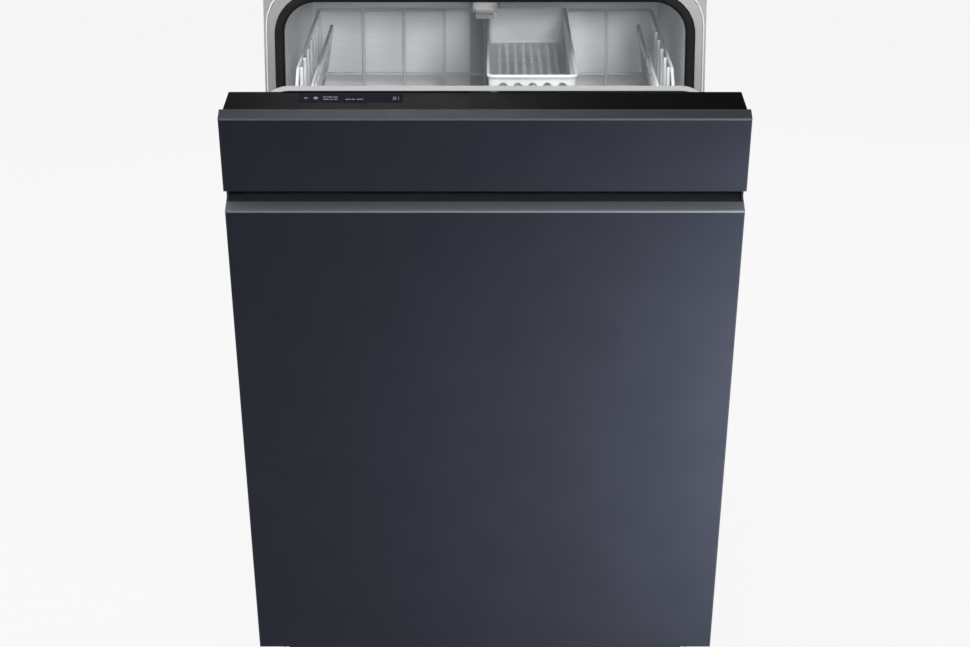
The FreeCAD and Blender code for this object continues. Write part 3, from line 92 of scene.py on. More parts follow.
camera = bpy.data.objects.new("camera", bpy.data.cameras.new("camera"))
camera.data.sensor_fit = "HORIZONTAL"
camera.data.sensor_width = 36
camera.data.lens = CAMERA_LENS
camera.data.clip_end = 100
camera.location = CAMERA_PLACE
camera.rotation_euler = (CAMERA_TILT, 0, 0)
bpy.context.scene.collection.objects.link(camera)
bpy.context.scene.camera = camera
print("camera", CAMERA_LENS, "mm lens,", round(90 - math.degrees(CAMERA_TILT), 1), "degrees above level")

# %% [markdown]
# ## Floor and world
#
# The machine stands in an even white studio. A bright floor could be had by pouring light on it, but that
# would bleach the object too. Instead the floor and the world show white to the camera and to mirror-like
# rays only, and light the object at a plain level. A part of the floor's own shading stays, for the shadow.

# %% Floor and world
FLOOR_HALF = 40.0
FLOOR_GREY = 0.6
SHADOW_SHARE = 0.12
WORLD_LIGHT = 0.4


def new_piece(name, points, edges=(), faces=()):
    """An object whose mesh has these points, edges and faces, put into the scene."""
    mesh = bpy.data.meshes.new(name)
    mesh.from_pydata(points, edges, faces)
    piece = bpy.data.objects.new(name, mesh)
    bpy.context.scene.collection.objects.link(piece)
    return piece


def sees_background(tree):
    """A factor of 1 for rays that show the background: the camera's, mirrored and transmitted ones."""
    path = tree.nodes.new("ShaderNodeLightPath")
    total = path.outputs["Is Camera Ray"]
    for ray in ("Is Glossy Ray", "Is Transmission Ray"):
        most = tree.nodes.new("ShaderNodeMath")
        most.operation = "MAXIMUM"
        tree.links.new(total, most.inputs[0])
        tree.links.new(path.outputs[ray], most.inputs[1])
        total = most.outputs[0]
    return total


def studio_floor():
    corners = [(x * FLOOR_HALF, y * FLOOR_HALF, 0) for x, y in ((-1, -1), (1, -1), (1, 1), (-1, 1))]
    floor = new_piece("floor", corners, faces=[(0, 1, 2, 3)])
    material = bpy.data.materials.new("pale_floor")
    material.use_nodes = True
    tree = material.node_tree
    shader = tree.nodes["Principled BSDF"]
    shader.inputs["Base Color"].default_value = (FLOOR_GREY, FLOOR_GREY, FLOOR_GREY, 1)
    shader.inputs["Roughness"].default_value = 0.9
    white = tree.nodes.new("ShaderNodeEmission")
    camera_share = tree.nodes.new("ShaderNodeMath")
    camera_share.operation = "MULTIPLY"
    camera_share.inputs[1].default_value = 1 - SHADOW_SHARE
    mix = tree.nodes.new("ShaderNodeMixShader")
    tree.links.new(sees_background(tree), camera_share.inputs[0])
    tree.links.new(camera_share.outputs[0], mix.inputs["Fac"])
    tree.links.new(shader.outputs[0], mix.inputs[1])
    tree.links.new(white.outputs[0], mix.inputs[2])
    tree.links.new(mix.outputs[0], tree.nodes["Material Output"].inputs["Surface"])
    floor.data.materials.append(material)


def white_world():
    world = bpy.data.worlds.new("studio")
    world.use_nodes = True
    tree = world.node_tree
    ambient = tree.nodes["Background"]
    ambient.inputs["Color"].default_value = (0.95, 0.97, 1, 1)
    ambient.inputs["Strength"].default_value = WORLD_LIGHT
    white = tree.nodes.new("ShaderNodeBackground")
    white.inputs["Color"].default_value = (1, 1, 1, 1)
    mix = tree.nodes.new("ShaderNodeMixShader")
    tree.links.new(sees_background(tree), mix.inputs["Fac"])
    tree.links.new(ambient.outputs[0], mix.inputs[1])
    tree.links.new(white.outputs[0], mix.inputs[2])
    tree.links.new(mix.outputs[0], tree.nodes["World Output"].inputs["Surface"])
    bpy.context.scene.world = world


studio_floor()
white_world()
bpy.context.scene.view_settings.view_transform = "Standard"
print("floor", 2 * FLOOR_HALF, "m wide, world light", WORLD_LIGHT)

# %% [markdown]
# ## Lamps
#
# A studio lights a machine with soft boxes, large even panes of light whose shadows have no hard edge. An
# area lamp is such a pane. Point lamps would be simpler, but they leave small hot spots on lacquer and
# steel. Metal mirrors every pane too, so the ones that would show as bright patches are kept out of
# reflections. Two lamps light single pieces only: one brushes the door's front panels from the right, and
# one gives the control strip and the ledge below it their shine.


# %% Lamps
def softbox(name, place, target, size, power, beam=180, mirrored=True, only=()):
    """A soft lamp with a beam so many degrees wide. mirrored says if metal shows its reflection, and only
    names the CAD nodes that it lights, where it doesn't light everything."""
    lamp = bpy.data.lights.new(name, "AREA")
    lamp.spread = math.radians(beam)
    lamp.shape = "RECTANGLE"
    lamp.size, lamp.size_y = size
    lamp.energy = power
    holder = bpy.data.objects.new(name, lamp)
    holder.location = place
    holder.rotation_euler = (Vector(target) - Vector(place)).to_track_quat("-Z", "Y").to_euler()
    holder.visible_camera = False
    holder.visible_glossy = mirrored
    bpy.context.scene.collection.objects.link(holder)
    if only:
        lit = bpy.data.collections.new(f"{name}_lit")
        for node in only:
            lit.objects.link(frame["nodes"][node])
        holder.light_linking.receiver_collection = lit


softbox("overhead_softbox", (-0.7, -1.7, 2.9), (0, 0, 0.6), (2.4, 1.6), 26)
softbox("tub_lamp", (0.05, -1.0, 2.4), (0, 0, 0.7), (0.9, 0.6), 9, mirrored=False)
softbox("front_fill", (0.35, -2.7, 1.42), (0, 0.25, 0.74), (0.7, 0.25), 3.8, beam=60)
softbox("door_lamp", (0.7, -0.72, 0.33), (0.6, -0.24, 0.36), (0.25, 0.64), 27, beam=130, mirrored=False,
        only=("lower_front_panel", "upper_front_panel"))
softbox("strip_lamp", (-0.17, 0.79, 2.47), (-0.1, -0.36, 0.84), (0.42, 0.6), 10.5,
        only=("control_fascia", "upper_front_panel"))
softbox("left_fill", (-2.6, -0.6, 1.6), (0, 0.1, 0.6), (1.4, 1.4), 10)
softbox("rear_fill", (0.6, 2.6, 2.0), (0, 0.2, 0.5), (2.2, 1.6), 22, mirrored=False)

# %% [markdown]
# ## Finishes
#
# A real surface is never one flat colour. Lacquer has a faint orange peel, brushed steel has streaks,
# zinc has spangles and moulded plastic has a grain. Pictures of such surfaces could be wrapped round the
# pieces, but they stretch and blur. Each finish below starts from one Principled shader instead, whose
# constant values sit on its own sockets. Noise on object coordinates then varies the colour, the roughness
# and the relief, at the scale the real thing has. A finish is kept under the material slot it is for, or
# under a node that has a finish of its own.

# %% Finish helpers
NOISE_LOW, NOISE_HIGH = 0.3, 0.7
FINISHES, NODE_FINISHES = {}, {}


def start_finish(name, colour, roughness, metallic=0.0, specular=0.5):
    """A material with its constant values set; returns it with its tree, shader and coordinates."""
    material = bpy.data.materials.new(name)
    material.use_nodes = True
    tree = material.node_tree
    shader = tree.nodes["Principled BSDF"]
    shader.inputs["Base Color"].default_value = (*colour, 1)
    shader.inputs["Roughness"].default_value = roughness
    shader.inputs["Metallic"].default_value = metallic
    shader.inputs["Specular IOR Level"].default_value = specular
    coordinates = tree.nodes.new("ShaderNodeTexCoord").outputs["Object"]
    return material, tree, shader, coordinates


def noise(tree, coordinates, grain, stretch=(1, 1, 1), detail=3.0):
    """Noise whose patches are about as long as grain, in metres, pulled out along some axes."""
    mapping = tree.nodes.new("ShaderNodeMapping")
    mapping.inputs["Scale"].default_value = [1 / (grain * s) for s in stretch]
    texture = tree.nodes.new("ShaderNodeTexNoise")
    texture.inputs["Scale"].default_value = 1
    texture.inputs["Detail"].default_value = detail
    tree.links.new(coordinates, mapping.inputs["Vector"])
    tree.links.new(mapping.outputs["Vector"], texture.inputs["Vector"])
    return texture.outputs["Fac"]


def cells(tree, coordinates, grain, randomness, output):
    """Cells about as wide as grain, in metres; with a randomness of 0 they form a square pattern."""
    texture = tree.nodes.new("ShaderNodeTexVoronoi")
    texture.inputs["Scale"].default_value = 1 / grain
    texture.inputs["Randomness"].default_value = randomness
    tree.links.new(coordinates, texture.inputs["Vector"])
    return texture.outputs[output]


def tint(tree, shader, factor, dark, light, low=NOISE_LOW, high=NOISE_HIGH):
    """Lets the colour go from dark to light while the factor goes from low to high."""
    ramp = tree.nodes.new("ShaderNodeValToRGB")
    for element, position, colour in zip(ramp.color_ramp.elements, (low, high), (dark, light)):
        element.position = position
        element.color = (*colour, 1)
    tree.links.new(factor, ramp.inputs["Fac"])
    tree.links.new(ramp.outputs["Color"], shader.inputs["Base Color"])


def vary_roughness(tree, shader, factor, low, high):
    """Lets the roughness go from low to high over the range where most of a noise lies."""
    share = tree.nodes.new("ShaderNodeMapRange")
    share.inputs["From Min"].default_value = NOISE_LOW
    share.inputs["From Max"].default_value = NOISE_HIGH
    share.inputs["To Min"].default_value = low
    share.inputs["To Max"].default_value = high
    tree.links.new(factor, share.inputs["Value"])
    tree.links.new(share.outputs["Result"], shader.inputs["Roughness"])


def relief(tree, shader, height, depth, strength=0.5):
    """Shades the surface as if the height, depth metres at most, were modelled."""
    bump = tree.nodes.new("ShaderNodeBump")
    bump.inputs["Strength"].default_value = strength
    bump.inputs["Distance"].default_value = depth
    tree.links.new(height, bump.inputs["Height"])
    tree.links.new(bump.outputs["Normal"], shader.inputs["Normal"])


print("finishes vary over noise from", NOISE_LOW, "to", NOISE_HIGH)

# %% [markdown]
# ### Lacquer
#
# The door's front is a dark blue-grey lacquer with a satin coat. Ledges that face up and the narrow bevels
# at the panels' top edges catch the light and look paler. They could be given a second material face by
# face. Here one finish paints that light into its colour: it mixes in a paler colour, painted light on
# the ledges and a painted highlight on the bevels, by the direction that a face points in, which holds
# when the panels change. The lower panel's ledge and bevel get the palest painted light, and the grip
# channel a dimmer painted light, for the shade deeper in the gap.

# %% Lacquer
# Faces that point up, or along the top-edge bevels, get painted light.
TOP_FACING = TO_REST.to_3x3() @ Vector((0, 0, 1))
EDGE_FACING = TO_REST.to_3x3() @ Vector((0, -1, 1)).normalized()
FACING_FROM, FACING_FULL = 0.96, 0.99
LACQUER = (0.015, 0.0167, 0.0232)
DARK_LACQUER = (0.0142, 0.0158, 0.0222)
LIGHT_LACQUER = (0.0158, 0.0174, 0.0242)
# The bevels' colour is a painted highlight.
BEVEL_HIGHLIGHT = (0.06, 0.062, 0.068)


def paint_facing_light(tree, shader, facing, colour):
    """Paints light into the colour of faces whose normal points along facing, as measured by its cosine."""
    normal = tree.nodes.new("ShaderNodeTexCoord").outputs["Normal"]
    dot = tree.nodes.new("ShaderNodeVectorMath")
    dot.operation = "DOT_PRODUCT"
    dot.inputs[1].default_value = facing
    share = tree.nodes.new("ShaderNodeMapRange")
    share.inputs["From Min"].default_value = FACING_FROM
    share.inputs["From Max"].default_value = FACING_FULL
    mix = tree.nodes.new("ShaderNodeMix")
    mix.data_type = "RGBA"
    mix.inputs["B"].default_value = (*colour, 1)
    lacquer = shader.inputs["Base Color"].links[0].from_socket
    tree.links.new(normal, dot.inputs[0])
    tree.links.new(dot.outputs["Value"], share.inputs["Value"])
    tree.links.new(share.outputs["Result"], mix.inputs["Factor"])
    tree.links.new(lacquer, mix.inputs["A"])
    tree.links.new(mix.outputs["Result"], shader.inputs["Base Color"])


def satin_lacquer(name, ledge, bevel):
    material, tree, shader, place = start_finish(name, LACQUER, 0.36, specular=0.04)
    tint(tree, shader, noise(tree, place, 0.05, detail=6), DARK_LACQUER, LIGHT_LACQUER)
    vary_roughness(tree, shader, noise(tree, place, 0.012), 0.33, 0.4)
    relief(tree, shader, noise(tree, place, 0.0012), 0.00002, 0.25)
    # Painted light on faces that point up, and a painted highlight on the top-edge bevels.
    paint_facing_light(tree, shader, TOP_FACING, ledge)
    paint_facing_light(tree, shader, EDGE_FACING, bevel)
    return material


FINISHES["front_lacquer"] = satin_lacquer("satin_lacquer", (0.016, 0.019, 0.025), BEVEL_HIGHLIGHT)
# The lower panel's ledge and bevel colours are the palest painted light, the light in the grip gap.
NODE_FINISHES["lower_front_panel"] = satin_lacquer("worn_lacquer", (0.13, 0.145, 0.16), (0.12, 0.13, 0.145))
# The channel's ledge colour is a dimmer painted light, for the shade deeper in the gap.
NODE_FINISHES["grip_channel"] = satin_lacquer("channel_lacquer", (0.037, 0.041, 0.047), BEVEL_HIGHLIGHT)
print("lacquers for", [*FINISHES, *NODE_FINISHES])

# %% [markdown]
# ### Control strip and display
#
# The control strip is black moulded plastic with a shine, and the display's window in it is dark glass over
# a grid of fine dots. Clear glass with lights behind it could be modelled, but hardly anything would show
# through it. An opaque finish with the dots in its colour looks the same and renders faster.


# %% Control strip and display
def gloss_black():
    material, tree, shader, place = start_finish("gloss_black", (0.001, 0.001, 0.001), 0.28, specular=0.01)
    tint(tree, shader, noise(tree, place, 0.09), (0.0008, 0.0008, 0.0008), (0.0012, 0.0012, 0.0012))
    vary_roughness(tree, shader, noise(tree, place, 0.02, detail=5), 0.25, 0.32)
    relief(tree, shader, noise(tree, place, 0.004), 0.00001, 0.15)
    return material


def display_glass():
    material, tree, shader, place = start_finish("display_glass", (0.004, 0.004, 0.012), 0.08, specular=0.05)
    dots = cells(tree, place, 0.0006, 0.0, "Distance")
    tint(tree, shader, dots, (0.002, 0.002, 0.009), (0.003, 0.003, 0.013))
    vary_roughness(tree, shader, noise(tree, place, 0.015), 0.07, 0.12)
    return material


FINISHES["control_black"] = gloss_black()
FINISHES["display_glass"] = display_glass()
print("finishes so far", len(FINISHES))

# %% [markdown]
# ### Brushed steel
#
# The tub, its frame and the door's liner are stainless sheet, brushed in one direction. Scratches could be
# modelled or drawn, but there are thousands. Noise that is stretched along the brushing gives streaks of the
# same kind. The sheets are one steel, with brightness and roughness as inputs. The frame and the liner
# get darker copies, painted shade, and the striker is darker still. The tub's copy is partly
# non-metallic, so that its walls gather more light: painted light.


# %% Brushed steel
def brushed_steel(name, along, light=0.88, roughness=0.34, metallic=1.0):
    material, tree, shader, place = start_finish(name, (light, light, light), roughness, metallic)
    stretch = [60 if axis == along else 1 for axis in "XYZ"]
    streaks = noise(tree, place, 0.0007, stretch, detail=4)
    dark, bright = ([light * k for k in shares] for shares in ((0.94, 0.95, 0.96), (1.02, 1.03, 1.04)))
    tint(tree, shader, streaks, dark, bright)
    vary_roughness(tree, shader, noise(tree, place, 0.12), roughness - 0.03, roughness + 0.03)
    relief(tree, shader, streaks, 0.00002, 0.2)
    return material


FINISHES["stainless"] = brushed_steel("brushed_steel", "X")
NODE_FINISHES["door_striker"] = brushed_steel("striker_steel", "X", 0.2)
# Painted shade: the frame's and the liner's steel are darker copies of the stainless.
NODE_FINISHES["tub_frame"] = brushed_steel("frame_steel", "Z", 0.36)
NODE_FINISHES["inner_liner"] = brushed_steel("liner_steel", "X", 0.55)
# Painted light: the tub's steel is partly non-metallic, so its walls look brighter.
NODE_FINISHES["tub_shell"] = brushed_steel("tub_steel", "X", 0.9, 0.42, 0.6)
print("nodes with a finish of their own", sorted(NODE_FINISHES))

# %% [markdown]
# ### Zinc sheet and sieve
#
# The casing is zinc-coated sheet, whose crystals show as soft patches. Plain noise could stand for them, but
# a Voronoi texture has just such cells. The fine filter is a steel sieve. Its holes are too many and too
# small to cut, so the same texture, with its cells set in rows, draws them as dark dots with some relief.
# The dark of the dots is painted shade, for the gloom seen through the holes.


# %% Zinc sheet and sieve
def zinc_sheet():
    material, tree, shader, place = start_finish("zinc_sheet", (0.44, 0.45, 0.47), 0.55, 1.0)
    spangle = cells(tree, place, 0.007, 1.0, "Color")
    grey = tree.nodes.new("ShaderNodeRGBToBW")
    tree.links.new(spangle, grey.inputs["Color"])
    tint(tree, shader, grey.outputs["Val"], (0.41, 0.42, 0.44), (0.47, 0.48, 0.5), 0.2, 0.8)
    vary_roughness(tree, shader, grey.outputs["Val"], 0.52, 0.6)
    relief(tree, shader, noise(tree, place, 0.003), 0.00004, 0.3)
    return material


def sieve_steel():
    material, tree, shader, place = start_finish("sieve_steel", (0.55, 0.56, 0.57), 0.35, 1.0)
    # Painted shade: the holes are drawn as near-black dots.
    holes = cells(tree, place, 0.0032, 0.0, "Distance")
    tint(tree, shader, holes, (0.03, 0.03, 0.03), (0.55, 0.56, 0.57), 0.3, 0.36)
    relief(tree, shader, holes, 0.0004, 0.6)
    return material


FINISHES["galvanised"] = zinc_sheet()
FINISHES["filter_steel"] = sieve_steel()
print("finishes so far", len(FINISHES))

# %% [markdown]
# ### Rubber, plastic and rack coating
#
# The seal is soft black rubber. The base, the pumps, the tray and the small parts are moulded, with the fine
# grain of the mould, and the racks are dipped in a smooth white coating. Each plastic could be a finish from
# scratch. One finish with a colour, a roughness and a grain as inputs serves for all of them, so they look
# like one family.


# %% Rubber, plastic and rack coating
def rubber():
    material, tree, shader, place = start_finish("seal_rubber", (0.006, 0.006, 0.007), 0.6, specular=0.15)
    tint(tree, shader, noise(tree, place, 0.03), (0.005, 0.005, 0.006), (0.008, 0.008, 0.009))
    vary_roughness(tree, shader, noise(tree, place, 0.01), 0.5, 0.68)
    relief(tree, shader, noise(tree, place, 0.0006), 0.00008, 0.5)
    return material


def moulded_plastic(name, colour, roughness, grain=0.0007, depth=0.00005):
    material, tree, shader, place = start_finish(name, colour, roughness)
    patches = noise(tree, place, 0.04, detail=4)
    tint(tree, shader, patches, [c * 0.93 for c in colour], [min(c * 1.05, 1) for c in colour])
    vary_roughness(tree, shader, patches, roughness - 0.06, roughness + 0.08)
    relief(tree, shader, noise(tree, place, grain), depth, 0.5)
    return material


FINISHES["seal_rubber"] = rubber()
FINISHES["base_plastic"] = moulded_plastic("dark_plastic", (0.03, 0.03, 0.033), 0.5)
FINISHES["pump_plastic"] = moulded_plastic("pump_plastic", (0.13, 0.13, 0.14), 0.5)
FINISHES["white_plastic"] = moulded_plastic("white_plastic", (0.76, 0.79, 0.8), 0.34, 0.0015, 0.00003)
FINISHES["grey_plastic"] = moulded_plastic("grey_plastic", (0.34, 0.35, 0.37), 0.42)
FINISHES["rack_coating"] = moulded_plastic("rack_coating", (0.76, 0.785, 0.8), 0.32, 0.002, 0.00004)
# Painted light: the duct is a paler copy of the grey plastic, to brighten the back of the tub.
NODE_FINISHES["feed_duct"] = moulded_plastic("duct_plastic", (0.62, 0.64, 0.66), 0.4)
print("finishes", sorted(FINISHES))

# %% [markdown]
# ## Dressing the solids
#
# Every solid of the frame says which material it is made of. Materials could be handed out one by one, but a
# loop over the record dresses all of them and misses none. A node with a finish of its own gets that instead.

# %% Dress the CAD nodes
for subpart in frame["record"]["subparts"]:
    node = frame["nodes"][subpart["node"]]
    node.data.materials.clear()
    node.data.materials.append(NODE_FINISHES.get(subpart["node"], FINISHES[subpart["material_slot"]]))

# %% [markdown]
# ## Bent wire
#
# The racks are steel wire, bent, welded and dipped in a white coating. Each wire could be a curve object of
# its own, but a rack has scores of them. Here one rack is one mesh of plain polylines, and a Geometry Nodes
# tree turns every polyline into a curve, rounds its corners, sweeps a circle along it and puts a ball on
# its free ends. The gauge and the bend radius are inputs of the tree, so a rack's wires all change at once.


# %% Tree helpers
def start_tree(name, inputs):
    """A node tree with a geometry in and out and inputs by name and kind; returns it and its two ends."""
    tree = bpy.data.node_groups.new(name, "GeometryNodeTree")
    tree.interface.new_socket("Geometry", in_out="INPUT", socket_type="NodeSocketGeometry")
    for socket, kind in inputs.items():
        tree.interface.new_socket(socket, in_out="INPUT", socket_type=f"NodeSocket{kind}")
    tree.interface.new_socket("Geometry", in_out="OUTPUT", socket_type="NodeSocketGeometry")
    return tree, tree.nodes.new("NodeGroupInput"), tree.nodes.new("NodeGroupOutput")


def chain(tree, *nodes):
    """Hands geometry on from node to node, from each one's first output to the next one's first input."""
    for giver, taker in zip(nodes, nodes[1:]):
        tree.links.new(giver.outputs[0], taker.inputs[0])


def run_tree(piece, tree, inputs):
    """Evaluates a node tree on a piece and keeps the result as its plain mesh."""
    modifier = piece.modifiers.new(tree.name, "NODES")
    modifier.node_group = tree
    sockets = {s.name: s.identifier for s in tree.interface.items_tree if s.in_out == "INPUT"}
    for name, given in inputs.items():
        modifier[sockets[name]] = given
    graph = bpy.context.evaluated_depsgraph_get()
    made = bpy.data.meshes.new_from_object(piece.evaluated_get(graph))
    piece.modifiers.clear()
    piece.data = made
    made.name = piece.name


print("node trees run in Blender", bpy.app.version_string)

# %% The wire tree
GAUGE = 0.004
BEND = 0.012
BEND_STEPS = 6
WIRE_SIDES = 10


def wire_tree():
    tree, given, result = start_tree("bent_wire", {"Radius": "Float", "Bend": "Float", "Coating": "Material"})
    new, link = tree.nodes.new, tree.links.new
    to_curve = new("GeometryNodeMeshToCurve")
    fillet = new("GeometryNodeFilletCurve")
    fillet.mode = "POLY"
    fillet.inputs["Count"].default_value = BEND_STEPS
    fillet.inputs["Limit Radius"].default_value = True
    circle = new("GeometryNodeCurvePrimitiveCircle")
    circle.inputs["Resolution"].default_value = WIRE_SIDES
    sweep = new("GeometryNodeCurveToMesh")
    sweep.inputs["Fill Caps"].default_value = True
    ends = new("GeometryNodeCurveEndpointSelection")
    ball = new("GeometryNodeMeshIcoSphere")
    ball.inputs["Subdivisions"].default_value = 2
    place = new("GeometryNodeInstanceOnPoints")
    join = new("GeometryNodeJoinGeometry")
    realize = new("GeometryNodeRealizeInstances")
    smooth = new("GeometryNodeSetShadeSmooth")
    coat = new("GeometryNodeSetMaterial")
    chain(tree, given, to_curve, fillet, sweep, join, realize, smooth, coat, result)
    chain(tree, fillet, place, join)
    link(given.outputs["Bend"], fillet.inputs["Radius"])
    link(given.outputs["Radius"], circle.inputs["Radius"])
    link(given.outputs["Radius"], ball.inputs["Radius"])
    link(circle.outputs["Curve"], sweep.inputs["Profile Curve"])
    link(ends.outputs["Selection"], place.inputs["Selection"])
    link(ball.outputs["Mesh"], place.inputs["Instance"])
    link(given.outputs["Coating"], coat.inputs["Material"])
    return tree


WIRE_TREE = wire_tree()
print("wire tree with", len(WIRE_TREE.nodes), "nodes")


# %% Bending wires
def bend_wires(name, loose, closed, coating, gauge=GAUGE, bend=BEND):
    """One piece of bent wire from polylines that are open and polylines that close on themselves."""
    points, edges = [], []
    for line, closes in [(line, False) for line in loose] + [(line, True) for line in closed]:
        first = len(points)
        points += [tuple(p) for p in line]
        edges += [(first + k, first + k + 1) for k in range(len(line) - 1)]
        if closes:
            edges.append((first + len(line) - 1, first))
    piece = new_piece(name, points, edges)
    run_tree(piece, WIRE_TREE, {"Radius": gauge / 2, "Bend": bend, "Coating": coating})
    print(name, len(loose) + len(closed), "wires,", len(piece.data.polygons), "faces")
    return piece


def put(piece, body, slot, *nodes):
    """Fastens a finished piece to its body and hides the CAD nodes it stands for; slot is not used."""
    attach(piece, body)
    if nodes:
        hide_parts(*nodes)


print("wire", GAUGE * 1000, "mm thick, bent at", BEND * 1000, "mm")

# %% [markdown]
# ## Racks
#
# A basket is made of U-shaped wires: some run across and up both sides, some run from front to back and up
# both ends. Rim wires go round the outside and hold them. They could be drawn one by one, but they are evenly
# spaced, so one count and a box are enough. The box is that of the CAD basket, so the round wires lie where
# its six-sided bars are.

# %% Basket helpers
WIRES_EACH_WAY = 9
BAR_CORNER = GAUGE / math.sqrt(3)  # from the middle of a six-sided bar to its corner
TINES = 11
TINE_MARGIN = 0.045
COMB_OVERHANG = 0.01


def spread(low, high, count):
    """Evenly spaced numbers from low to high."""
    return [low + (high - low) * k / (count - 1) for k in range(count)]


def basket_wires(node, mid_rises, front_rim=None):
    """The U wires and rim loops of one rack, its front, back and floor; the front rim may lie lower."""
    low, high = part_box(node)
    inset = 1.5 * GAUGE  # the rim wires lie outside the U wires
    half = high.x - inset
    front, back = low.y + inset, high.y - inset
    floor, rim = low.z + GAUGE / 2, high.z - BAR_CORNER
    front_rim = front_rim or rim
    rows = spread(front, back, WIRES_EACH_WAY)
    across = [[(-half, y, rim), (-half, y, floor), (half, y, floor), (half, y, rim)] for y in rows[1:-1]]
    along = [[(x, front, front_rim), (x, front, floor + GAUGE), (x, back, floor + GAUGE), (x, back, rim)]
             for x in spread(-half, half, WIRES_EACH_WAY)[1:-1]]
    outer, near, far = half + GAUGE, front - GAUGE, back + GAUGE
    loops = [[(-outer, near, z), (outer, near, z), (outer, far, z), (-outer, far, z)]
             for z in [floor + rise for rise in mid_rises]]
    loops.append([(-outer, near, front_rim), (outer, near, front_rim), (outer, rows[1], rim),
                  (outer, far, rim), (-outer, far, rim), (-outer, rows[1], rim)])
    return across + along, loops, (front, back, floor)


def tine_places(front, back):
    """Where the tines stand along the depth of a rack."""
    return spread(front - GAUGE / 2 + TINE_MARGIN, back + GAUGE / 2 - TINE_MARGIN, TINES)


def comb(x, places, base, length):
    """A base wire along the depth with upright tines on it."""
    spine = [(x, places[0] - COMB_OVERHANG, base), (x, places[-1] + COMB_OVERHANG, base)]
    return [spine] + [[(x, y, base), (x, y, base + length)] for y in places]


print("basket wires each way", WIRES_EACH_WAY - 2, "and tines in a row", TINES)

# %% Upper rack
UPPER_RIM_RISES = (0.05, 0.098)
UPPER_COMBS = (-0.125, -0.035)
TINE = 0.092
UPPER_TINE = TINE * 0.75
FIT_GAP = 0.0003

tray_low, tray_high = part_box("cutlery_tray")
tray_seat = tray_low.z - FIT_GAP - BAR_CORNER
wires, loops, (front, back, floor) = basket_wires("upper_rack_basket", UPPER_RIM_RISES, tray_seat)
places = tine_places(front, back)
for column in UPPER_COMBS:
    wires += comb(column, places, floor + GAUGE, UPPER_TINE)
upper = bend_wires("upper_rack_wires", wires, loops, FINISHES["rack_coating"])
put(upper, "upper_rack", "rack_coating", "upper_rack_basket")

# %% Lower rack
LOWER_RIM_RISES = (0.06,)
LOWER_COMB = 0.122
LOWER_TINE = TINE * 0.5

wires, loops, (front, back, floor) = basket_wires("lower_rack_basket", LOWER_RIM_RISES)
places = tine_places(front, back)
wires += comb(LOWER_COMB, places, floor + GAUGE, LOWER_TINE)
lower = bend_wires("lower_rack_wires", wires, loops, FINISHES["rack_coating"])
put(lower, "lower_rack", "rack_coating", "lower_rack_basket")

# %% [markdown]
# ## Folding tines
#
# Two rows of tines in the lower rack fold flat, to make room. They could be drawn as a part of the basket,
# but then they would not move. Each row is a comb of its own instead, with its base wire on the axis of its
# joint, and the inner row stands half a step behind the outer one.

# %% Folding tine rows
half_step = (places[1] - places[0]) / 2
ROWS = {"outer": places, "inner": [y + half_step for y in places[:-1]]}
for key, row in ROWS.items():
    axis = Vector(joints[f"{key}_tines_fold"]["pos_m"])
    row_wires = comb(axis.x, row, axis.z, TINE + GAUGE / 2)
    tines = bend_wires(f"{key}_tine_wires", row_wires, [], FINISHES["rack_coating"])
    put(tines, f"tines_{key}", "rack_coating", f"folding_tines_{key}")

# %% [markdown]
# ## Cup shelves
#
# A cup shelf is a frame of wire with a wavy wire welded in, which folds down over the rack as a second floor.
# At rest both shelves are folded up against the rack's sides. The wave could be a sine curve of many points.
# A zigzag polyline with one corner for each turn does, because the tree rounds the corners off.

# %% Cup shelves
SHELF_WIDTH = 0.068
SHELF_LEAN = math.radians(8)
WAVES = 17
WAVE_MARGIN, WAVE_INSET, WAVE_BEND = 0.008, 0.001, 0.007


def cup_shelf(key, side):
    node = f"cup_shelf_{key}"
    low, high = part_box(node)
    root = Vector(joints[f"{key}_shelf_fold"]["pos_m"])
    rise = Vector((-side * math.sin(SHELF_LEAN), 0, math.cos(SHELF_LEAN)))
    near, far = low.y + BAR_CORNER, high.y - BAR_CORNER
    corners = [(near, 0), (far, 0), (far, SHELF_WIDTH), (near, SHELF_WIDTH)]
    crests = spread(near + WAVE_MARGIN, far - WAVE_MARGIN, WAVES)
    turns = [(y, WAVE_INSET if k % 2 else SHELF_WIDTH - WAVE_INSET) for k, y in enumerate(crests)]
    outline, wave = ([Vector((root.x, y, root.z)) + rise * reach for y, reach in line]
                     for line in (corners, turns))
    shelf = bend_wires(f"{node}_wires", [wave], [outline], FINISHES["rack_coating"], bend=WAVE_BEND)
    put(shelf, f"shelf_{key}", "rack_coating", node)


cup_shelf("left", -1)
cup_shelf("right", 1)

# %% [markdown]
# ## Cutlery tray
#
# The tray is a thin white moulding, stiff because its corners are round and its rim is rolled. A box with a
# Solidify modifier would have sharp edges instead. The shell is lofted here from rounded rectangles, stacked
# along a profile that climbs the outer wall, rolls over the rim and goes down the inner wall. The openings
# repeat, so a node tree cuts them: it sets one cutter on each of many places and takes them all out of the
# shell.

# %% Tray shell
# Each pair is an inset from the tray's outline and a height above its underside.
TRAY_PROFILE = (
    (0.0050, 0.0000), (0.0034, 0.0005), (0.0026, 0.0020), (0.0022, 0.0050),
    (0.0022, 0.0430), (0.0012, 0.0440), (0.0002, 0.0452), (0.0000, 0.0466),
    (0.0004, 0.0479), (0.0014, 0.0485), (0.0026, 0.0483), (0.0036, 0.0474),
    (0.0040, 0.0460), (0.0042, 0.0050), (0.0048, 0.0032), (0.0060, 0.0024), (0.0075, 0.0022),
)
TRAY_CORNER = 0.011
CORNER_STEPS = 8
HOOK_REACH = 0.008  # the solid's hook over the rack's back rim, which the moulding leaves out


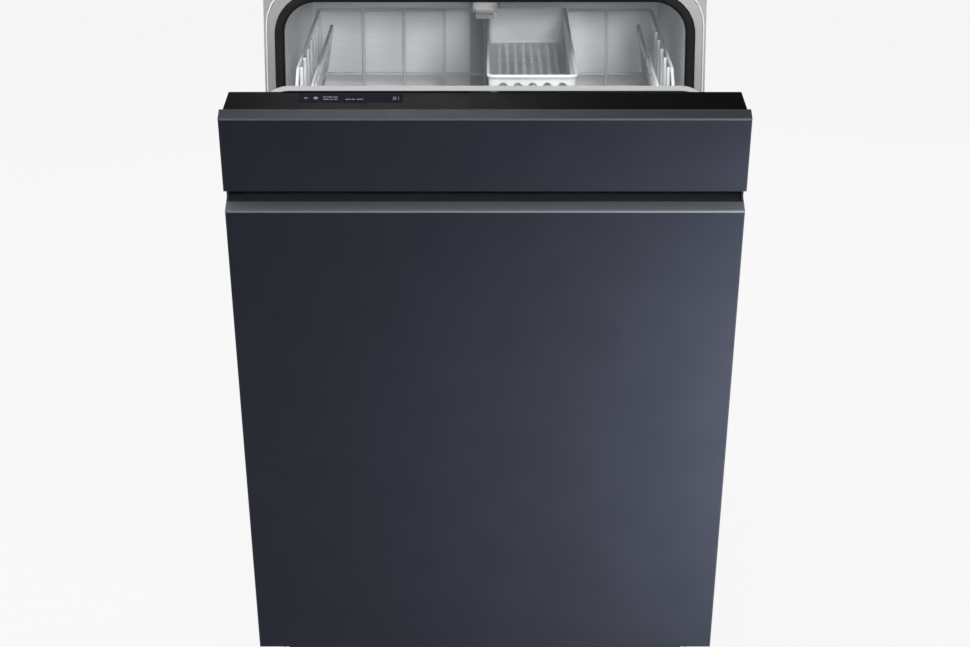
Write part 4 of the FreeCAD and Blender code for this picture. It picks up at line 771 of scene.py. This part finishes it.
def rounded_rectangle(low, high, inset, corner, z):
    """Points of a rectangle with round corners, counter-clockwise seen from above."""
    radius = corner - inset
    points = []
    for quarter, (x, y) in enumerate(((high.x, high.y), (low.x, high.y), (low.x, low.y), (high.x, low.y))):
        centre_x = x - math.copysign(corner, x - (low.x + high.x) / 2)
        centre_y = y - math.copysign(corner, y - (low.y + high.y) / 2)
        for step in range(CORNER_STEPS + 1):
            angle = math.radians(90) * (quarter + step / CORNER_STEPS)
            points.append((centre_x + radius * math.cos(angle), centre_y + radius * math.sin(angle), z))
    return points


def loft(name, rings):
    """A closed shell through stacked rings of equal length, with its first and last ring filled."""
    count = len(rings[0])
    faces = [list(range(count))[::-1]]
    for lower in range(0, count * (len(rings) - 1), count):
        for k in range(count):
            after = (k + 1) % count
            faces.append([lower + k, lower + after, lower + count + after, lower + count + k])
    faces.append([count * (len(rings) - 1) + k for k in range(count)])
    return new_piece(name, [p for ring in rings for p in ring], faces=faces)


tray_back = Vector((tray_high.x, tray_high.y - HOOK_REACH, tray_high.z))
rings = [rounded_rectangle(tray_low, tray_back, inset, TRAY_CORNER, tray_low.z + rise)
         for inset, rise in TRAY_PROFILE]
tray = loft("cutlery_tray_moulding", rings)
print("tray shell", len(tray.data.polygons), "faces")


# %% The piercing tree
def pierce_tree():
    tree, given, result = start_tree("pierce", {"Cutter": "Object", "Places": "Object", "Finish": "Material"})
    new, link = tree.nodes.new, tree.links.new
    cutter, places = new("GeometryNodeObjectInfo"), new("GeometryNodeObjectInfo")
    put_cutters = new("GeometryNodeInstanceOnPoints")
    realize = new("GeometryNodeRealizeInstances")
    take_out = new("GeometryNodeMeshBoolean")
    take_out.operation = "DIFFERENCE"
    finish = new("GeometryNodeSetMaterial")
    chain(tree, given, take_out, finish, result)
    chain(tree, put_cutters, realize)
    link(given.outputs["Cutter"], cutter.inputs["Object"])
    link(given.outputs["Places"], places.inputs["Object"])
    link(places.outputs["Geometry"], put_cutters.inputs["Points"])
    link(cutter.outputs["Geometry"], put_cutters.inputs["Instance"])
    link(realize.outputs["Geometry"], take_out.inputs["Mesh 2"])
    link(given.outputs["Finish"], finish.inputs["Material"])
    return tree


PIERCE_TREE = pierce_tree()


def prism(name, outline, along):
    """A straight bar of an outline's shape, centred on the outline's plane, to cut or stand with."""
    return loft(name, [[Vector(p) - along / 2 for p in outline], [Vector(p) + along / 2 for p in outline]])


def pierce(piece, cutter, places):
    """Cuts one opening at each place out of a piece of white plastic."""
    holder = new_piece("places", places)
    inputs = {"Cutter": cutter, "Places": holder, "Finish": FINISHES["white_plastic"]}
    run_tree(piece, PIERCE_TREE, inputs)
    for tool in (cutter, holder):
        bpy.data.objects.remove(tool)
    print(piece.name, len(places), "openings,", len(piece.data.polygons), "faces")


print("piercing tree with", len(PIERCE_TREE.nodes), "nodes")

# %% Holes in the tray's floor
HOLE_RADIUS, HOLE_SIDES, HOLE_DEPTH = 0.0028, 10, 0.01
HOLES_ACROSS, ACROSS_MARGIN = 8, 0.016
HOLES_ALONG, ALONG_MARGIN = 36, 0.018

turns = spread(0, math.tau, HOLE_SIDES + 1)[:-1]
circle = [(HOLE_RADIUS * math.cos(a), HOLE_RADIUS * math.sin(a), 0) for a in turns]
inside_x = spread(tray_low.x + ACROSS_MARGIN, tray_high.x - ACROSS_MARGIN, HOLES_ACROSS)
inside_y = spread(tray_low.y + ALONG_MARGIN, tray_back.y - ALONG_MARGIN, HOLES_ALONG)
hole_places = [(x, y, tray_low.z) for x in inside_x for y in inside_y]
pierce(tray, prism("hole", circle, Vector((0, 0, HOLE_DEPTH))), hole_places)

# %% Arches in the tray's walls
ARCH_HALF, ARCH_DROP, ARCH_DEPTH = 0.0055, 0.0145, 0.014
ARCH_RISE, ARCH_POINTS = 0.034, 9
FRONT_ARCHES, FRONT_MARGIN = 5, 0.018
SIDE_ARCHES, SIDE_MARGIN = 20, 0.026

arc = [math.radians(d) for d in spread(0, 180, ARCH_POINTS)]
arch = [(-ARCH_HALF, 0, -ARCH_DROP), (ARCH_HALF, 0, -ARCH_DROP)]
arch += [(ARCH_HALF * math.cos(a), 0, ARCH_HALF * math.sin(a)) for a in arc]
side_arch = [(0, x, z) for x, _, z in arch]
arch_z = tray_low.z + ARCH_RISE
front_x = spread(tray_low.x + FRONT_MARGIN, tray_high.x - FRONT_MARGIN, FRONT_ARCHES)
front_places = [(x, tray_low.y, arch_z) for x in front_x]
pierce(tray, prism("arch", arch[::-1], Vector((0, ARCH_DEPTH, 0))), front_places)
side_y = spread(tray_low.y + SIDE_MARGIN, tray_back.y - SIDE_MARGIN, SIDE_ARCHES)
side_places = [(x, y, arch_z) for x in (tray_low.x, tray_high.x) for y in side_y]
pierce(tray, prism("side_arch", side_arch, Vector((ARCH_DEPTH, 0, 0))), side_places)
put(tray, "cutlery_tray_body", "white_plastic", "cutlery_tray")

# %% [markdown]
# ## Frame bead and grip end caps
#
# A pressed bead runs round the tub's frame and stiffens its thin sheet. It could be cut into the sheet's own
# mesh, but it follows a path, so the wire tree makes it from three straight runs with round corners. The grip
# channel behind the door's gap is a folded sheet with open ends, and a moulded cap closes each of them.

# %% Frame bead
BEAD_INSET, BEAD_GAUGE, BEAD_CORNER = 0.003, 0.0022, 0.05
BEAD_FOOT = 0.004

frame_low, frame_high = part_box("tub_frame")
bead_x, bead_top, bead_foot = frame_high.x - BEAD_INSET, frame_high.z - BEAD_INSET, frame_low.z + BEAD_FOOT
bead_path = [(side * bead_x, frame_low.y, z)
             for side, z in ((-1, bead_foot), (-1, bead_top), (1, bead_top), (1, bead_foot))]
bead = bend_wires("frame_bead", [bead_path], [], FINISHES["stainless"], BEAD_GAUGE, BEAD_CORNER)
put(bead, "cabinet", "stainless")

# %% Grip end caps
CAP_WALL = 0.002

grip_low, grip_high = shut_box("grip_channel")
cap_front, cap_back = grip_low.y + FIT_GAP, grip_high.y - FIT_GAP
cap_low, cap_high = grip_low.z + FIT_GAP, grip_high.z - FIT_GAP
cap_corners = [(cap_front, cap_low), (cap_back, cap_low), (cap_back, cap_high), (cap_front, cap_high)]
for key, x in (("left", grip_low.x + CAP_WALL), ("right", grip_high.x - CAP_WALL)):
    outline = [TO_REST @ Vector((x, y, z)) for y, z in cap_corners]
    cap = prism(f"grip_cap_{key}", outline, Vector((CAP_WALL, 0, 0)))
    cap.data.materials.append(FINISHES["base_plastic"])
    put(cap, "door", "base_plastic")
    print(cap.name, "at x", round(x, 4))

# %% [markdown]
# ## Display signs
#
# Behind its dark glass the display lights up a few plain signs: an arrow back, a round sign, two lines of
# writing and a number. A text object could write them, but at this size strokes are all that is seen. They
# are printed here as thin light bars, a hair above the glass, and stand for no real words.

# %% Sign helpers
SIGN_LIFT = 0.00015


def sign_light():
    material, tree, shader, place = start_finish("sign_light", (0.12, 0.13, 0.15), 0.4)
    tint(tree, shader, noise(tree, place, 0.002), (0.09, 0.1, 0.12), (0.13, 0.14, 0.165))
    shader.inputs["Emission Color"].default_value = (0.75, 0.82, 0.95, 1)
    shader.inputs["Emission Strength"].default_value = 0.08
    return material


SIGN_FINISH = sign_light()


def print_signs(name, node, outlines):
    """Flat shapes on a door node's top, given as shares of its width and depth."""
    low, high = shut_box(node)
    size = high - low
    points, faces = [], []
    for outline in outlines:
        faces.append([len(points) + k for k in range(len(outline))])
        points += [TO_REST @ Vector((low.x + u * size.x, low.y + v * size.y, high.z + SIGN_LIFT))
                   for u, v in outline]
    piece = new_piece(name, points, faces=faces)
    piece.data.materials.append(SIGN_FINISH)
    put(piece, "door", "display_glass")
    print(name, len(faces), "shapes")


def dash(u, v, width, height=0.09):
    return [(u, v), (u + width, v), (u + width, v + height), (u, v + height)]


print("sign finish", SIGN_FINISH.name)

# %% Display signs
DISC_SIDES = 16
UPPER_LINE, LOWER_LINE = 0.6, 0.34
UPPER_WORDS = ((0.235, 0.03), (0.272, 0.05), (0.33, 0.045))
LOWER_WORDS = ((0.235, 0.055), (0.3, 0.03), (0.34, 0.035), (0.45, 0.05), (0.51, 0.03), (0.56, 0.06))

arrow = [[(0.05, 0.52), (0.072, 0.66), (0.072, 0.38)], dash(0.072, 0.5, 0.022, 0.07)]
turns = spread(0, math.tau, DISC_SIDES + 1)[:-1]
disc = [[(0.165 + 0.022 * math.cos(a), 0.53 + 0.15 * math.sin(a)) for a in turns]]
writing = [dash(u, UPPER_LINE, width) for u, width in UPPER_WORDS]
writing += [dash(u, LOWER_LINE, width) for u, width in LOWER_WORDS]
number = [dash(0.905, v, 0.03, 0.06) for v in (0.34, 0.47, 0.6)] + [dash(0.955, 0.34, 0.006, 0.32)]
print_signs("display_signs", "display_window", arrow + disc + writing + number)

# %% [markdown]
# ## Screws and pressed ribs
#
# Sheet-metal screws hold the casing and the door's edges. All have the same pan head with a six-lobed
# socket, so one function lofts it. Copies could be placed by a loop of duplicates. A node tree stands them
# on every screw place at once, turned to face out of the sheet, and makes one mesh of them. The same tree
# stands the long ribs that are pressed into the side panels, which would drum if they were flat.


# %% The tree that stands copies
def copies_tree():
    tree, given, result = start_tree("stand_copies", {"Shape": "Object", "Finish": "Material"})
    new, link = tree.nodes.new, tree.links.new
    shape = new("GeometryNodeObjectInfo")
    facing = new("GeometryNodeInputNamedAttribute")
    facing.data_type = "FLOAT_VECTOR"
    facing.inputs["Name"].default_value = "facing"
    turn = new("FunctionNodeAlignRotationToVector")
    turn.axis = "Z"
    stand = new("GeometryNodeInstanceOnPoints")
    realize = new("GeometryNodeRealizeInstances")
    finish = new("GeometryNodeSetMaterial")
    chain(tree, given, stand, realize, finish, result)
    link(given.outputs["Shape"], shape.inputs["Object"])
    link(facing.outputs["Attribute"], turn.inputs["Vector"])
    link(shape.outputs["Geometry"], stand.inputs["Instance"])
    link(turn.outputs["Rotation"], stand.inputs["Rotation"])
    link(given.outputs["Finish"], finish.inputs["Material"])
    return tree


COPIES_TREE = copies_tree()


def stand_copies(name, body, slot, shape, places):
    """One mesh of copies of a shape from pairs of a place and the direction that the shape's top faces."""
    piece = new_piece(name, [place for place, _ in places])
    attribute = piece.data.attributes.new("facing", "FLOAT_VECTOR", "POINT")
    attribute.data.foreach_set("vector", [v for _, facing in places for v in facing])
    run_tree(piece, COPIES_TREE, {"Shape": shape, "Finish": FINISHES[slot]})
    bpy.data.objects.remove(shape)
    print(name, len(places), "copies,", len(piece.data.polygons), "faces")
    put(piece, body, slot)


print("copies tree with", len(COPIES_TREE.nodes), "nodes")

# %% Screw head
# Each pair is a radius and a height above the sheet.
HEAD_RINGS = ((0.0036, 0.0), (0.0036, 0.0003), (0.0032, 0.0009), (0.0025, 0.0012), (0.002, 0.0013))
SOCKET_HEIGHTS = (0.0013, 0.0005)
LOBE, VALLEY = 0.0017, 0.0012
HEAD_SIDES = 12


def screw_head():
    turns = [math.tau * k / HEAD_SIDES for k in range(HEAD_SIDES)]
    rings = [[(r * math.cos(a), r * math.sin(a), z) for a in turns] for r, z in HEAD_RINGS]
    for z in SOCKET_HEIGHTS:
        lobed = [(LOBE if k % 2 else VALLEY, a) for k, a in enumerate(turns)]
        rings.append([(r * math.cos(a), r * math.sin(a), z) for r, a in lobed])
    return loft("screw_head", rings)


print("screw head", len(HEAD_RINGS) + len(SOCKET_HEIGHTS), "rings of", HEAD_SIDES, "points")

# %% Casing screws
FRAME_SCREW_INSET = 0.0075
FRAME_SCREW_HEIGHTS = (0.3, 0.52, 0.74)
SIDE_SCREWS = ((0.1, 0.2), (0.3, 0.2), (0.1, 0.82), (0.3, 0.82))

side_low, side_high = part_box("right_side_panel")
casing = []
for side in (-1, 1):
    for z in FRAME_SCREW_HEIGHTS:
        casing.append(((side * (frame_high.x - FRAME_SCREW_INSET), frame_low.y, z), (0, -1, 0)))
    for y, z in SIDE_SCREWS:
        casing.append(((side * side_high.x, y, z), (side, 0, 0)))
stand_copies("casing_screws", "cabinet", "galvanised", screw_head(), casing)

# %% Door edge screws
EDGE_SCREWS = 5
BELOW_SCREWS, ABOVE_SCREWS = 0.04, 0.12

shell_low, shell_high = shut_box("door_shell")
door_edge = []
for side in (-1, 1):
    for z in spread(shell_low.z + BELOW_SCREWS, shell_high.z - ABOVE_SCREWS, EDGE_SCREWS):
        place = TO_REST @ Vector((side * shell_high.x, (shell_low.y + shell_high.y) / 2, z))
        door_edge.append((place, (side, 0, 0)))
stand_copies("door_edge_screws", "door", "galvanised", screw_head(), door_edge)

# %% Pressed ribs
# Each pair is an inset from the rib's outline and a height above the sheet.
RIB_RINGS = ((0.0, 0.0), (0.001, 0.0012), (0.0028, 0.0026), (0.005, 0.0032), (0.0075, 0.0034))
RIB_LENGTH, RIB_HALF = 0.52, 0.011
RIBS_EACH_SIDE, RIB_MARGIN = 4, 0.09
RIB_MIDDLE = 0.51

rib_high = Vector((RIB_LENGTH / 2, RIB_HALF, 0))
rib_rings = [rounded_rectangle(-rib_high, rib_high, inset, RIB_HALF, rise) for inset, rise in RIB_RINGS]
rib = loft("rib", rib_rings)
rib_rows = spread(side_low.y + RIB_MARGIN, side_high.y - RIB_MARGIN, RIBS_EACH_SIDE)
ribs = [((side * side_high.x, y, RIB_MIDDLE), (side, 0, 0)) for side in (-1, 1) for y in rib_rows]
stand_copies("side_ribs", "cabinet", "galvanised", rib, ribs)
